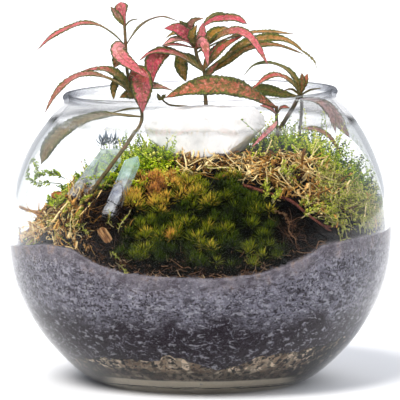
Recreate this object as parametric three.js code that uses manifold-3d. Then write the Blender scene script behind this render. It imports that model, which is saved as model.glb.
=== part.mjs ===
// An open glass terrarium: a rounded bowl with gravel, potting soil, mosses, crystals and leafy plants.
// Millimetres. X is right, Y is away from the front, Z is up, and the bowl stands on Z = 0.
import * as THREE from "three";
import { mergeVertices } from "three/addons/utils/BufferGeometryUtils.js";
import { ConvexGeometry } from "three/addons/geometries/ConvexGeometry.js";
import Module from "manifold-3d";

const wasm = await Module();
wasm.setup();

// Bowl
const SEGMENTS = 48;
const PLAN_STEPS = 28;
const WALL = 3;
const BASE_GLASS = 6;
const BOWL_OUTLINE = [
  [52, 0],
  [58, 2.4],
  [66, 8],
  [80.3, 22.6],
  [90.5, 38.5],
  [97, 55],
  [100, 78],
  [98.6, 96],
  [94, 111.5],
  [86.5, 127],
  [78, 139],
  [70.9, 147.6],
];
const LIP_OUTLINE = [
  [71.6, 149.8],
  [70.4, 151.6],
  [68.4, 151.2],
];
const THICKER_BELOW = 24;
const BASE_EXTRA = 2.4;
const MOUTH_TILT = Math.tan(THREE.MathUtils.degToRad(1.3));
const TILT_FROM = 108;
const TILT_TO = 148;

// Clearances
const WALL_GAP = 0.4;
const LAYER_GAP = 0.35;
const HOLE_GAP = 0.35;
const PATCH_GAP = 0.25;
const CRYSTAL_GAP = 0.45;
const QUARTZ_HOLE_SCALE = 1.04;
const MERGE = 1e-4;

// Places taken from the picture: pixels right, pixels down, then millimetres behind the bowl's axis
const MM_PER_PIXEL = 0.5214;
const CENTRE_COLUMN = 200.2;
const BASE_ROW = 380;
const VIEW_ANGLE = THREE.MathUtils.degToRad(6);

// Layers: height against the glass, by angle in degrees from +X
const GRAVEL_EDGE = [
  [0, 27],
  [90, 22],
  [180, 14],
  [234, 21],
  [253, 20.5],
  [256, 24.3],
  [268, 20.3],
  [277, 15.6],
  [287, 19.5],
  [293, 23.2],
  [316, 25.5],
  [333, 28.8],
  [360, 27],
];
const GRAVEL_MIDDLE = 20;
const GRAVEL_RADIUS = 76;
const SOIL_EDGE = [
  [0, 83],
  [45, 88],
  [90, 92],
  [135, 86],
  [160, 77],
  [180, 71],
  [216, 77.5],
  [228, 77],
  [238, 70],
  [247, 66],
  [259, 64.7],
  [275, 64.2],
  [286, 66],
  [294, 69],
  [303, 73.5],
  [309, 79],
  [322, 80.5],
  [344, 81.3],
  [360, 83],
];
const SOIL_RADIUS = 96.5;
const MOUND_RADIUS = 24;
const MOUND_TOP = 113;
const MOUND_RIGHT_RISE = 12;
const MOUND_CURVE = 1.6;
const GRAVEL_RINGS = [30, 60, 84];
const SOIL_RINGS = [26, 50, 74, 85, 97];
const BELOW_ALL = -10;
const MAT_FLOOR = 40;
const COLUMN_HEIGHT = 180;
const AT_WALL = 90;
const SIDE_SWAY = 0.16;
const SIGHT_STEP = 0.5;
const SIGHT_RADIUS = 92.5;
const RISE_FROM = 20;
const RISE_TO = 60;
const SHELF_FROM = -85;
const SHELF_TO = -75;
const LOW_MOSS = 0.45;
const LOW_FROM = -62;
const LOW_TO = -36;

// Leaves
const LEAF_THICK = 0.7;
const LEAF_FOLD = 0.3;
const TOOTH_DEPTH = 0.13;
const STATION_LENGTH = 6.6;
const STEM_SIDES = 6;
const TWIG_SIDES = 5;
const STRAND_SIDES = 3;
const CRYSTAL_SIDES = 6;
const UP = [0, 0, 1];
const FRONT = [0, -1, 0.15];
const LEANING = [0, -0.6, 0.8];
const ARCHED = [0, -0.8, 0.6];

const LEFT_PLANT = {
  stems: [
    {
      line: [
        [90, 202, -46],
        [98, 188, -46],
        [113, 167, -39],
        [131, 141, -24],
        [142, 120, -5],
        [141, 108, 0],
        [135, 96, 0],
        [128, 75, 0],
        [126, 45, 0],
        [124.7, 24, 0],
      ],
      radius: 1.1,
      end: 0.8,
    },
  ],
  leaves: [
    { line: [[126, 46, 0], [114, 35, -3], [100, 26.8, -5], [84, 24.8, -7], [66, 31, -9],
      [51, 39.5, -10], [38.5, 51.5, -11]], width: 3.7, normal: [0, -0.35, 1], twist: -30, peak: 0.62 },
    { line: [[126, 46, 0], [132, 37, -1], [141, 27, -2], [151, 20.5, -4], [163, 18, -6],
      [177, 22, -8]], width: 3, normal: [0, -0.2, 1], twist: 12, peak: 0.35 },
    { line: [[126, 48, 0], [119, 47.5, -4], [118, 52, -8], [124, 60, -11], [136, 69.5, -14],
      [150, 79.5, -16]], width: 7.8, normal: [0.1, -1, 0.25], twist: 0, peak: 0.4 },
    { line: [[127, 53, 1], [119, 58, 4], [114, 68, 6]], width: 6.5, normal: FRONT, twist: 0, peak: 0.5 },
    { line: [[131, 95, -1], [126, 84, -3], [118, 76, -5], [107, 70.5, -6], [95, 70, -7],
      [83, 72, -8]], width: 5.6, normal: [0, -0.7, 0.7], twist: 0, peak: 0.42 },
    { line: [[132, 97, -1], [122, 86, -6], [108, 79, -9], [92, 75.3, -12], [78, 77.6, -14],
      [65, 86, -16], [55, 98, -18], [46.5, 114, -20]], width: 4.2, normal: [0, -0.62, 0.8], twist: 0,
      peak: 0.62 },
    { line: [[128, 82, -1], [118, 78, -4], [114, 88, -5], [114, 100, -5]], width: 4.2, normal:
      [0.3, -1, 0.1], twist: 0, peak: 0.6 },
    { line: [[129, 80, -1], [139, 74, -4], [142, 84, -8], [142.5, 98, -9], [143, 113, -8]], width: 11.5,
      normal: [0, -1, 0.1], twist: 0, peak: 0.5 },
    { line: [[134, 92, 1], [148, 87, 3], [161, 87.5, 4], [173, 90.5, 4]], width: 4.6, normal: LEANING,
      twist: 0, peak: 0.45 },
    { line: [[135, 98, 0], [128, 95, -3], [120, 98, -5]], width: 4.5, normal: FRONT, twist: 0, peak: 0.5 },
    { line: [[125.2, 27, 0], [118, 17, -1], [111, 7.5, -2]], width: 4.2, normal: [0.35, -1, 0], twist:
      0, peak: 0.55 },
    { line: [[126, 27, 0], [123.5, 15, 1], [120.5, 3, 1]], width: 7.6, normal: [-0.2, -1, 0], twist:
      0, peak: 0.8 },
    { line: [[125, 27, 0], [131, 21.5, 0], [138, 19.6, 0]], width: 2.4, normal: UP, twist: 0, peak: 0.4 },
    { line: [[142, 117, -3], [129, 116, -6], [113, 115, -10], [97, 117, -14], [80, 123, -17],
      [64, 134, -18], [51, 149, -18], [44, 165, -18]], width: 8, normal: ARCHED, twist: 0, peak: 0.71 },
    { line: [[140, 108, 0], [126, 110, -4], [113, 113, -9]], width: 3, normal: UP, twist: 0, peak: 0.4 },
  ],
};

const CENTRE_PLANT = {
  stems: [
    {
      line: [
        [210, 176, 24],
        [208, 150, 22],
        [207, 120, 19],
        [205, 90, 15],
        [204, 71, 12],
        [199, 62, 12],
        [196, 52, 12],
        [195, 40, 12],
      ],
      radius: 1.3,
      end: 0.9,
    },
    { line: [[206, 108, 17], [185, 106, 13], [168, 104, 10], [161, 98, 9]], radius: 0.6, end: 0.5 },
  ],
  leaves: [
    { line: [[204, 71, 12], [192, 62, 9], [178, 55, 6], [163, 51.5, 3], [150, 53.5, 1], [139.5, 61, 0]],
      width: 6.4, normal: LEANING, twist: 0, peak: 0.45 },
    { line: [[170, 52.5, 4], [160, 55, 3], [153.5, 62, 2], [152, 71, 2], [153, 83, 2]], width: 9.6,
      normal: [0.1, -0.97, 0.2], twist: 0, peak: 0.42 },
    { line: [[204, 70, 12], [190, 58, 17], [181, 60, 18], [182, 70, 18], [186, 81, 18]], width: 7.5,
      normal: [0.2, -1, 0.3], twist: 0, peak: 0.66 },
    { line: [[195, 47, 12], [186, 41, 9], [175, 40, 7], [162, 46, 5]], width: 5, normal: LEANING, twist: 0,
      peak: 0.5 },
    { line: [[196, 48, 11], [184, 46, 7], [172, 45, 5], [163, 47, 4]], width: 3, normal: [0, -0.4, 0.9],
      twist: 0, peak: 0.5 },
    { line: [[195, 43, 12], [186, 34, 9], [176, 28.5, 6], [164.4, 28.8, 4]], width: 7.4, normal: FRONT,
      twist: 0, peak: 0.5 },
    { line: [[195, 43, 13], [182, 34, 12], [172, 34, 10], [166, 38, 9]], width: 3.4, normal: LEANING,
      twist: 0, peak: 0.5 },
    { line: [[195, 41, 12], [187, 28, 13], [179, 20, 13]], width: 5, normal: FRONT, twist: 0, peak: 0.5 },
    { line: [[195, 40, 11], [190, 29, 10], [193, 21, 9], [204, 18, 9]], width: 4.4, normal: FRONT, twist: 0,
      peak: 0.4 },
    { line: [[195, 46, 11], [192, 35, 8], [197, 25, 7]], width: 4.6, normal: FRONT, twist: 0, peak: 0.5 },
    { line: [[196, 48, 11], [201, 38, 6], [203, 23, 5]], width: 5.6, normal: FRONT, twist: 0, peak: 0.55 },
    { line: [[197, 46, 10], [203, 42, 4], [206, 51, 1], [208, 66, -1]], width: 5.4, normal: [0, -1, 0.1],
      twist: 0, peak: 0.4 },
    { line: [[195, 42, 12], [202, 28, 11], [212, 20.5, 10], [224, 18.5, 9], [236, 18.5, 8],
      [247, 24, 7]], width: 5.4, normal: [0, -0.75, 0.65], twist: 0, peak: 0.72 },
    { line: [[202, 29, 12], [209, 18, 12], [219, 14, 11], [232, 17, 10]], width: 3, normal: [0, -0.5, 0.8],
      twist: 0, peak: 0.5 },
    { line: [[196, 49, 12], [206, 41, 10], [214, 33, 9], [223, 29, 9], [233, 29.5, 9]], width: 5.4,
      normal: ARCHED, twist: 0, peak: 0.5 },
    { line: [[196.8, 52.8, 12], [210, 42, 10], [222, 34.5, 6], [235, 31.5, 2], [247, 36, -3],
      [256, 46, -7], [267.5, 66, -11]], width: 5.2, normal: [0.15, -0.9, 0.5], twist: 0, peak: 0.6 },
    { line: [[196.6, 52.5, 12.3], [225, 39, 15], [250, 32.5, 16], [272, 31.5, 16], [294, 33.5, 16]],
      width: 3.4, normal: [0, -0.5, 0.85], twist: 0, peak: 0.7 },
    { line: [[205, 71, 12], [222, 60, 11], [244, 44, 10], [262, 38.5, 10], [280, 38.5, 9],
      [294, 44, 8], [305, 53.5, 7]], width: 5.4, normal: [0, -0.75, 0.65], twist: 0, peak: 0.55 },
    { line: [[302, 50.5, 7.2], [310, 56.5, 6.8], [315, 62.5, 6.4], [316.7, 70, 6]], width: 1.4,
      normal: FRONT, twist: 0, peak: 0.3 },
    { line: [[206, 74, 12], [224, 64, 10], [243, 51, 8], [262, 45, 7], [280, 46, 6], [303, 54, 5]],
      width: 4.6, normal: [0, -0.7, 0.7], twist: 0, peak: 0.42 },
    { line: [[204, 70, 12], [213, 58, 7], [226, 45, 4], [243, 36, 2]], width: 4.6, normal: ARCHED, twist: 0,
      peak: 0.55 },
    { line: [[203, 69, 12], [211, 55, 15], [219, 46, 17], [227, 38, 19]], width: 5, normal: FRONT, twist: 0,
      peak: 0.5 },
    { line: [[205, 78, 13], [211, 70, 9], [218, 63, 6]], width: 4, normal: FRONT, twist: 0, peak: 0.5 },
    { line: [[161, 100, 9], [159, 97, 8], [157, 93, 7]], width: 2.4, normal: FRONT, twist: 0, peak: 0.4 },
    { line: [[161, 100, 9], [163, 97, 9], [166, 94, 9]], width: 2.4, normal: FRONT, twist: 0, peak: 0.4 },
  ],
};

const MIDDLE_RIGHT_PLANT = {
  stems: [
    {
      line: [
        [279, 160, 2],
        [278, 138, 2],
        [276.5, 121, 2],
        [276.5, 106, 2],
      ],
      radius: 1.1,
      end: 0.8,
    },
  ],
  leaves: [
    { line: [[276.5, 108, 2], [264, 101, -3], [250, 94, -8], [230, 88, -12], [206, 87, -15],
      [185, 91, -17], [165.4, 99, -18]], width: 10.8, normal: [0, -0.95, 0.35], twist: 0, peak: 0.6 },
    { line: [[276.5, 114, 2], [268, 108, -2], [260, 106, -5]], width: 5, normal: LEANING, twist: 0,
      peak: 0.5 },
    { line: [[276.8, 114, 2], [282, 108, -1], [289, 108, -3]], width: 4, normal: LEANING, twist: 0,
      peak: 0.5 },
    { line: [[277, 121, 2], [273, 127, -9], [263, 137, -20], [251, 148, -27]], width: 3.6, normal:
      [0, -0.75, 0.65], twist: 0, peak: 0.55 },
  ],
};

const RIGHT_PLANT = {
  stems: [
    {
      line: [
        [272, 160, 18],
        [276, 138, 16],
        [283, 124, 13],
        [294, 106, 7],
        [300.7, 92, 3],
      ],
      radius: 1.4,
      end: 1,
    },
    { line: [[297, 160, 16], [300, 138, 15], [301, 123, 14], [302, 106, 9], [301, 93, 3]],
      radius: 0.9, end: 0.8 },
  ],
  leaves: [
    { line: [[300.5, 93, 3], [297, 82, 4], [290, 72.5, 4], [279, 66, 3], [266, 63, 2], [253, 66, 1],
      [244, 75.4, 0]], width: 3.8, normal: [0, -0.5, 0.85], twist: 0, peak: 0.3 },
    { line: [[300, 94, 3], [293, 84, -1], [284, 78, -4], [274, 76, -8], [264, 80, -12],
      [251, 91, -16]], width: 3.8, normal: [0, -0.75, 0.65], twist: 0, peak: 0.55 },
    { line: [[299, 97, 5], [284, 94, 8], [268, 90, 9], [256, 89, 9], [245, 91, 9]], width: 6.2,
      normal: FRONT, twist: 0, peak: 0.6 },
    { line: [[299.5, 95, 3], [290, 89.5, -1], [280, 93, -3]], width: 3, normal: UP, twist: 0, peak: 0.4 },
    { line: [[301, 94, 3], [302, 83, 2], [301.6, 73, 1]], width: 3.4, normal: FRONT, twist: 0, peak:
      0.6 },
    { line: [[301.3, 94, 3], [304, 83.5, 3], [307.5, 73.8, 3]], width: 3.8, normal: FRONT, twist: 0,
      peak: 0.6 },
    { line: [[301, 95, 3], [310, 90.5, 1], [320, 88.5, -1]], width: 3.4, normal: UP, twist: 0, peak: 0.4 },
    { line: [[299, 99, 5], [310, 100, -3], [321, 104, -8], [330, 114, -11], [334, 134, -12]], width:
      3.8, normal: [0, -0.9, 0.4], twist: 0, peak: 0.68 },
    { line: [[300, 99, 5], [312, 99.5, 5], [322, 103, 5], [330.5, 110.5, 5], [338, 120, 5],
      [345, 129.5, 5], [350.5, 137, 5]], width: 6.4, normal: [0, -0.9, 0.4], twist: 0, peak: 0.62 },
    { line: [[300.7, 129, 14], [307, 128.5, 7], [317, 130, 2], [328, 136, -1], [335, 145, -3],
      [340, 155, -4]], width: 3.6, normal: [0, -0.7, 0.7], twist: 0, peak: 0.42 },
  ],
};

// Corners that the moss patches share, seen from above
const WALL_LEFT = [-98, -12];
const LEFT_INNER = [-64, -20];
const CENTRE_LEFT = [-36, -44];
const FRONT_LEFT = [-37, -93];
const FOOT_LEFT = [-14, -40];
const FOOT_RIGHT = [14, -42];
const SLOPE_RIGHT = [38, -62];
const FRONT_RIGHT = [42, -91];
const RIGHT_INNER = [30, -12];
const RIGHT_OUTER = [86, -18];
const WALL_RIGHT = [92, 34];
const BACK_RIGHT = [66, 54];
const STEM_RIGHT = [44, 40];
const QUARTZ_RIGHT = [28, 12];
const QUARTZ_BACK = [0, 7];
const QUARTZ_FRONT = [-10, -9];
const QUARTZ_LEFT = [-22, 10];
const BACK_CENTRE = [-38, 26];
const BACK_LEFT = [-58, 34];
const CENTRE_BACK = [-54, 4];
const WALL_BACK = [-74, 56];
const WALL_FRONT_RIGHT = [97, -16];
const WALL_BACK_RIGHT = [82, 60];

// Moss patches, each kept to its own column
const CUSHION_MOSS = {
  outline: [FRONT_LEFT, CENTRE_LEFT, FOOT_LEFT, FOOT_RIGHT, SLOPE_RIGHT, FRONT_RIGHT, [3, -99]],
  crown: 4,
  cell: 4.4,
  tuft: 5.5,
  strands: 0,
  seed: 11,
};
const DRIED_MOSS_LEFT = {
  outline: [WALL_LEFT, LEFT_INNER, CENTRE_LEFT, FRONT_LEFT, [-62, -84], [-92, -48]],
  crown: 4,
  cell: 7,
  tuft: 4,
  strands: 9,
  reach: [9, 14],
  spread: 1.8,
  radius: [0.6, 0.8],
  bend: 0.9,
  seed: 23,
};
const DRIED_MOSS_RIGHT = {
  outline: [FOOT_LEFT, FOOT_RIGHT, SLOPE_RIGHT, [62, -70], [92, -40], WALL_FRONT_RIGHT, RIGHT_OUTER,
    RIGHT_INNER, QUARTZ_FRONT],
  crown: 5,
  cell: 7,
  tuft: 4,
  strands: 12,
  reach: [9, 14],
  spread: 1.8,
  radius: [0.6, 0.8],
  bend: 0.9,
  seed: 31,
};
const FEATHER_MOSS_RIGHT = {
  outline: [RIGHT_INNER, RIGHT_OUTER, WALL_FRONT_RIGHT, WALL_RIGHT, WALL_BACK_RIGHT, BACK_RIGHT, STEM_RIGHT,
    QUARTZ_RIGHT],
  crown: 9,
  cell: 7,
  tuft: 8,
  strands: 17,
  reach: [10, 16],
  spread: 0.8,
  radius: [0.7, 0.9],
  bend: 0.5,
  seed: 43,
};
const FEATHER_MOSS_LEFT = {
  outline: [WALL_LEFT, LEFT_INNER, CENTRE_BACK, BACK_LEFT, WALL_BACK, [-98, 12]],
  crown: 5,
  cell: 7.5,
  tuft: 5,
  low: true,
  strands: 11,
  reach: [13, 19],
  spread: 0.8,
  radius: [0.7, 0.9],
  bend: 0.5,
  seed: 53,
};
const FEATHER_MOSS_CENTRE = {
  outline: [LEFT_INNER, CENTRE_LEFT, FOOT_LEFT, QUARTZ_FRONT, QUARTZ_LEFT, BACK_CENTRE, BACK_LEFT,
    CENTRE_BACK],
  crown: 6,
  cell: 7,
  tuft: 6,
  low: true,
  strands: 12,
  reach: [12, 18],
  spread: 0.8,
  radius: [0.7, 0.9],
  bend: 0.5,
  seed: 61,
};
const FEATHER_MOSS_BACK = {
  outline: [BACK_CENTRE, QUARTZ_LEFT, QUARTZ_BACK, QUARTZ_RIGHT, STEM_RIGHT, BACK_RIGHT, WALL_BACK_RIGHT,
    [50, 86], [0, 99], [-50, 86], WALL_BACK, BACK_LEFT],
  crown: 6,
  cell: 9.5,
  tuft: 6,
  low: true,
  strands: 10,
  reach: [12, 18],
  spread: 0.9,
  radius: [0.7, 0.9],
  bend: 0.5,
  seed: 71,
};

// Stones, as places of their corners
const WHITE_QUARTZ = [
  [143, 126, -10], [149, 140, -17], [155, 144, -20], [184, 159, -24], [204, 158, -25], [227, 154, -24],
  [236, 147, -22], [253, 135, -16], [266, 126, -8], [264, 116, -6], [254, 107, -9], [205, 105, -13],
  [156, 109, -9], [166, 118, -21], [205, 116, -22], [240, 117, -19],
  [147, 130, 2], [160, 112, 7], [180, 108, 8], [250, 109, 7], [262, 122, 4], [184, 172, -8], [226, 170, -8],
  [180, 160, 8], [230, 158, 8],
];
const SLIM_CRYSTAL = { foot: [112, 218, -61], top: [138, 156, -42], radius: 4.6, tip: 5, turn: 12 };
const WIDE_CRYSTAL = { foot: [80, 202, -37], top: [121, 147, -22], radius: 6.6, tip: 7, turn: 30 };

// Twigs and chips, as places on the mound, with the height of their middle line above the soil
const RED_TWIG = { line: [[242, 186], [264, 193], [288, 201.5], [303, 214], [318, 225], [332, 235]], lift: 6,
  radius: 0.9, end: 0.6 };
const RED_TWIG_BRANCH = { line: [[318, 225], [329, 226], [338, 223]], lift: 6, radius: 0.6, end: 0.5 };
const LEFT_TWIG = { line: [[58, 217, -30], [45, 213, -27], [34, 211, -22], [22, 207, -14]],
  radius: 0.9, end: 0.7 };
const LIGHT_CHIP = { centre: [109.5, 235], lift: 5, length: 10, width: 5, thick: 1.6, turn: -55 };
const ORANGE_CHIP = { centre: [60.5, 195], lift: 6, length: 10, width: 4, thick: 1.6, turn: 5 };

// Numbers from 0 to 1 that repeat for the same seed
function seeded(seed) {
  let state = seed;
  return () => {
    state = (Math.imul(state, 1664525) + 1013904223) >>> 0;
    return state / 4294967296;
  };
}

function vector(list) {
  return new THREE.Vector3(...list);
}

// A place in the picture with its depth, as a point in the part's frame
function place([column, row, depth]) {
  const rise = (BASE_ROW - row) * MM_PER_PIXEL;
  return new THREE.Vector3(
    (column - CENTRE_COLUMN) * MM_PER_PIXEL,
    depth,
    (rise - depth * Math.sin(VIEW_ANGLE)) / Math.cos(VIEW_ANGLE),
  );
}

// The value of a table of [angle, value] rows at any angle in radians
function around(table, angle) {
  const degrees = THREE.MathUtils.euclideanModulo(THREE.MathUtils.radToDeg(angle), 360);
  const after = Math.max(1, table.findIndex(([at]) => at >= degrees));
  const [fromAngle, from] = table[after - 1];
  const [toAngle, to] = table[after];
  return THREE.MathUtils.mapLinear(degrees, fromAngle, toAngle, from, to);
}

function gravelTop(x, y) {
  const share = Math.min(1, Math.hypot(x, y) / GRAVEL_RADIUS);
  const edge = around(GRAVEL_EDGE, Math.atan2(y, x));
  return GRAVEL_MIDDLE + (edge - GRAVEL_MIDDLE) * share ** 2;
}

function soilTop(x, y) {
  const radius = Math.hypot(x, y);
  const edge = around(SOIL_EDGE, Math.atan2(y, x));
  const inward = THREE.MathUtils.clamp((SOIL_RADIUS - radius) / (SOIL_RADIUS - MOUND_RADIUS), 0, 1);
  const top = MOUND_TOP + MOUND_RIGHT_RISE * THREE.MathUtils.smoothstep(x, RISE_FROM, RISE_TO);
  const shelf = THREE.MathUtils.smoothstep(x, SHELF_FROM, SHELF_TO);
  return edge + (top - edge) * (1 - (1 - inward) ** MOUND_CURVE) * shelf;
}

// Where the line of sight through a place in the picture first meets the mound raised by a lift
function onMound([column, row], lift) {
  for (let depth = -SOIL_RADIUS; depth < SOIL_RADIUS; depth += SIGHT_STEP) {
    const point = place([column, row, depth]);
    const inside = Math.hypot(point.x, point.y) < SIGHT_RADIUS;
    if (inside && point.z <= soilTop(point.x, point.y) + lift) return point;
  }
  throw new Error("no part of the mound is seen at " + column + ", " + row);
}

// Solids
function solidFrom(points, triangles) {
  const geometry = new THREE.BufferGeometry();
  geometry.setFromPoints(points);
  geometry.setIndex(triangles.flat());
  return solidOf(geometry);
}

function solidOf(geometry) {
  const bare = geometry.clone();
  bare.deleteAttribute("normal");
  bare.deleteAttribute("uv");
  const joined = mergeVertices(bare, MERGE);
  const corners = joined.index.array;
  const kept = [];
  for (let i = 0; i < corners.length; i += 3) {
    const [a, b, c] = corners.slice(i, i + 3);
    if (a !== b && b !== c && a !== c) kept.push([a, b, c]);
  }
  const build = (faces) =>
    new wasm.Manifold(
      new wasm.Mesh({
        numProp: 3,
        vertProperties: new Float32Array(joined.attributes.position.array),
        triVerts: new Uint32Array(faces.flat()),
      }),
    );
  const body = build(kept);
  return body.volume() > 0 ? body : build(kept.map(([a, b, c]) => [a, c, b]));
}

// The biggest body of a solid, without loose scraps or sealed hollows
function mainBody(solid) {
  return solid.decompose().reduce((best, body) => (body.volume() > best.volume() ? body : best));
}

function join(solids) {
  return wasm.Manifold.union(solids);
}

function meshOf(name, solid, material) {
  const { vertProperties, triVerts } = solid.getMesh();
  const geometry = new THREE.BufferGeometry();
  geometry.setAttribute("position", new THREE.BufferAttribute(vertProperties, 3));
  geometry.setIndex(new THREE.BufferAttribute(triVerts, 1));
  geometry.computeVertexNormals();
  const mesh = new THREE.Mesh(geometry, material);
  mesh.name = name;
  return mesh;
}

// A skin over rings of points, closed by a fan to a point at each end
function loft(rings, first, last) {
  const count = rings[0].length;
  const points = [first, ...rings.flat(), last];
  const end = points.length - 1;
  const at = (ring, step) => 1 + ring * count + (step % count);
  const triangles = [];
  for (let step = 0; step < count; step++) {
    triangles.push([0, at(0, step + 1), at(0, step)]);
    for (let ring = 0; ring + 1 < rings.length; ring++) {
      triangles.push([at(ring, step), at(ring, step + 1), at(ring + 1, step + 1)]);
      triangles.push([at(ring, step), at(ring + 1, step + 1), at(ring + 1, step)]);
    }
    triangles.push([end, at(rings.length - 1, step), at(rings.length - 1, step + 1)]);
  }
  return solidFrom(points, triangles);
}

// Points along a smooth line, each with the way ahead and a side that turns as little as it can,
// or that keeps facing one way
function framesAlong(points, count, normal, twist = 0, facing = false) {
  const curve = new THREE.CatmullRomCurve3(points, false, "centripetal");
  const frames = [];
  let up = vector(normal);
  for (let i = 0; i < count; i++) {
    const share = i / (count - 1);
    const point = curve.getPointAt(share);
    const ahead = curve.getTangentAt(share);
    up = (facing ? vector(normal) : up).clone();
    up.addScaledVector(ahead, -up.dot(ahead)).normalize();
    const turned = up.clone().applyAxisAngle(ahead, THREE.MathUtils.degToRad(twist * share));
    const side = new THREE.Vector3().crossVectors(ahead, turned);
    frames.push({ share, point, ahead, up: turned, side });
  }
  return { frames, length: curve.getLength() };
}

// A round stem or strand that thins from its start to its end
function tube(points, start, end, sides, count, pointed = false) {
  const { frames } = framesAlong(points, count, [0.31, 0.17, 0.93]);
  const rings = frames.slice(0, pointed ? -1 : undefined).map(({ point, up, side, share }) => {
    const radius = start + (end - start) * share;
    return Array.from({ length: sides }, (_, step) => {
      const angle = (step / sides) * 2 * Math.PI;
      return point
        .clone()
        .addScaledVector(up, radius * Math.cos(angle))
        .addScaledVector(side, radius * Math.sin(angle));
    });
  });
  return loft(rings, frames[0].point, frames.at(-1).point);
}

// Half the width of a leaf, narrow at its stalk, widest at its peak and drawn out to a tip
function leafReach(share, peak) {
  const power = Math.log(0.5) / Math.log(peak);
  const body = Math.max(0, Math.sin(Math.PI * share ** power)) ** 0.8;
  return 0.12 + 0.88 * body;
}

// One leaf, folded along its midrib and toothed along both edges
function leaf({ line, width, normal, twist, peak }, grow = 0) {
  const points = line.map(place);
  const rough = new THREE.CatmullRomCurve3(points, false, "centripetal").getLength();
  const count = THREE.MathUtils.clamp(Math.round(rough / STATION_LENGTH), 2, 8) + 1;
  const { frames } = framesAlong(points, count, normal, twist, true);
  const half = LEAF_THICK / 2 + grow;
  const stations = frames.map(({ point, up, side, share }, i) => {
    const toothed = i % 2 === 0 ? 1 - TOOTH_DEPTH : 1 + TOOTH_DEPTH;
    const inner = i > 0 && i < count - 1 ? toothed : 1;
    const reach = (width / 2) * leafReach(share, peak) * inner + grow;
    const edgeRise = reach * LEAF_FOLD * Math.sin(Math.PI * share);
    return [-1, 0, 1].map((across) => {
      const centre = point.clone().addScaledVector(side, reach * across);
      return centre.addScaledVector(up, edgeRise * Math.abs(across));
    });
  });
  const skin = [];
  frames.forEach(({ up }, i) => {
    stations[i].forEach((centre) => skin.push(centre.clone().addScaledVector(up, half)));
    stations[i].forEach((centre) => skin.push(centre.clone().addScaledVector(up, -half)));
  });
  const upper = (i, across) => i * 6 + across;
  const lower = (i, across) => i * 6 + 3 + across;
  const triangles = [];
  for (let i = 0; i + 1 < count; i++) {
    for (let across = 0; across < 2; across++) {
      const quad = (face) =>
        [face(i, across), face(i, across + 1), face(i + 1, across + 1), face(i + 1, across)];
      const [a, b, c, d] = quad(upper);
      triangles.push([a, b, c], [a, c, d]);
      const [e, f, g, h] = quad(lower);
      triangles.push([e, g, f], [e, h, g]);
    }
    for (const [across, turn] of [[0, false], [2, true]]) {
      const [a, b, c, d] = [upper(i, across), upper(i + 1, across), lower(i + 1, across), lower(i, across)];
      triangles.push(...(turn ? [[a, c, b], [a, d, c]] : [[a, b, c], [a, c, d]]));
    }
  }
  for (const [i, turn] of [[0, true], [count - 1, false]]) {
    for (let across = 0; across < 2; across++) {
      const [a, b, c, d] = [upper(i, across), upper(i, across + 1), lower(i, across + 1), lower(i, across)];
      triangles.push(...(turn ? [[a, c, b], [a, d, c]] : [[a, b, c], [a, c, d]]));
    }
  }
  return solidFrom(skin, triangles);
}

function stem({ line, radius, end }, grow = 0) {
  const points = line.map(place);
  return tube(points, radius + grow, end + grow, STEM_SIDES, line.length + 1);
}

function plant({ stems, leaves }, grow = 0) {
  return join([...stems.map((part) => stem(part, grow)), ...leaves.map((part) => leaf(part, grow))]);
}

// Bowl
function tiltedMouth(geometry) {
  const position = geometry.getAttribute("position");
  for (let i = 0; i < position.count; i++) {
    const z = position.getZ(i);
    const share = THREE.MathUtils.smoothstep(z, TILT_FROM, TILT_TO);
    position.setZ(i, z + position.getX(i) * MOUTH_TILT * share);
  }
  return geometry;
}

function turned(profile) {
  const points = profile.map(([radius, z]) => new THREE.Vector2(radius, z));
  const geometry = new THREE.LatheGeometry(points, SEGMENTS);
  geometry.rotateX(Math.PI / 2);
  return solidOf(tiltedMouth(geometry));
}

// The inside of the wall, set in from the outline along its own slope
function innerOutline() {
  const wall = BOWL_OUTLINE.slice(1).map(([radius, z], i, all) => {
    const before = BOWL_OUTLINE[i];
    const after = all[i + 1] ?? LIP_OUTLINE[0];
    const along = new THREE.Vector2(after[0] - before[0], after[1] - before[1]).normalize();
    const thick = WALL + BASE_EXTRA * THREE.MathUtils.clamp(1 - z / THICKER_BELOW, 0, 1);
    return [radius - along.y * thick, z + along.x * thick];
  });
  const [footRadius] = wall[0];
  return [[footRadius - 6, BASE_GLASS], ...wall];
}

function bowl() {
  const inside = innerOutline().reverse();
  return turned([[0, 0], ...BOWL_OUTLINE, ...LIP_OUTLINE, ...inside, [0, BASE_GLASS]]);
}

// All the space inside the glass, a little clear of it
function roomInside() {
  const inside = innerOutline().map(([radius, z]) => [radius - WALL_GAP, z + WALL_GAP / 2]);
  const [, top] = inside.at(-1);
  return turned([[0, inside[0][1]], ...inside, [0, top]]);
}

// Everything below a height that varies over the plan
function below(top, radii) {
  const ring = (radius, height) =>
    Array.from({ length: PLAN_STEPS }, (_, step) => {
      const angle = (step / PLAN_STEPS) * 2 * Math.PI;
      const x = radius * Math.cos(angle);
      const y = radius * Math.sin(angle);
      return new THREE.Vector3(x, y, height(x, y));
    });
  const rings = radii.map((radius) => ring(radius, top));
  rings.push(ring(radii.at(-1), () => BELOW_ALL));
  return loft(rings, new THREE.Vector3(0, 0, top(0, 0)), new THREE.Vector3(0, 0, BELOW_ALL));
}

// Stones
function quartz(scale = 1) {
  const corners = WHITE_QUARTZ.map(place);
  const sum = corners.reduce((total, corner) => total.add(corner), new THREE.Vector3());
  const middle = sum.divideScalar(corners.length);
  corners.forEach((corner) => corner.sub(middle).multiplyScalar(scale).add(middle));
  return solidOf(new ConvexGeometry(corners));
}

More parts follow.
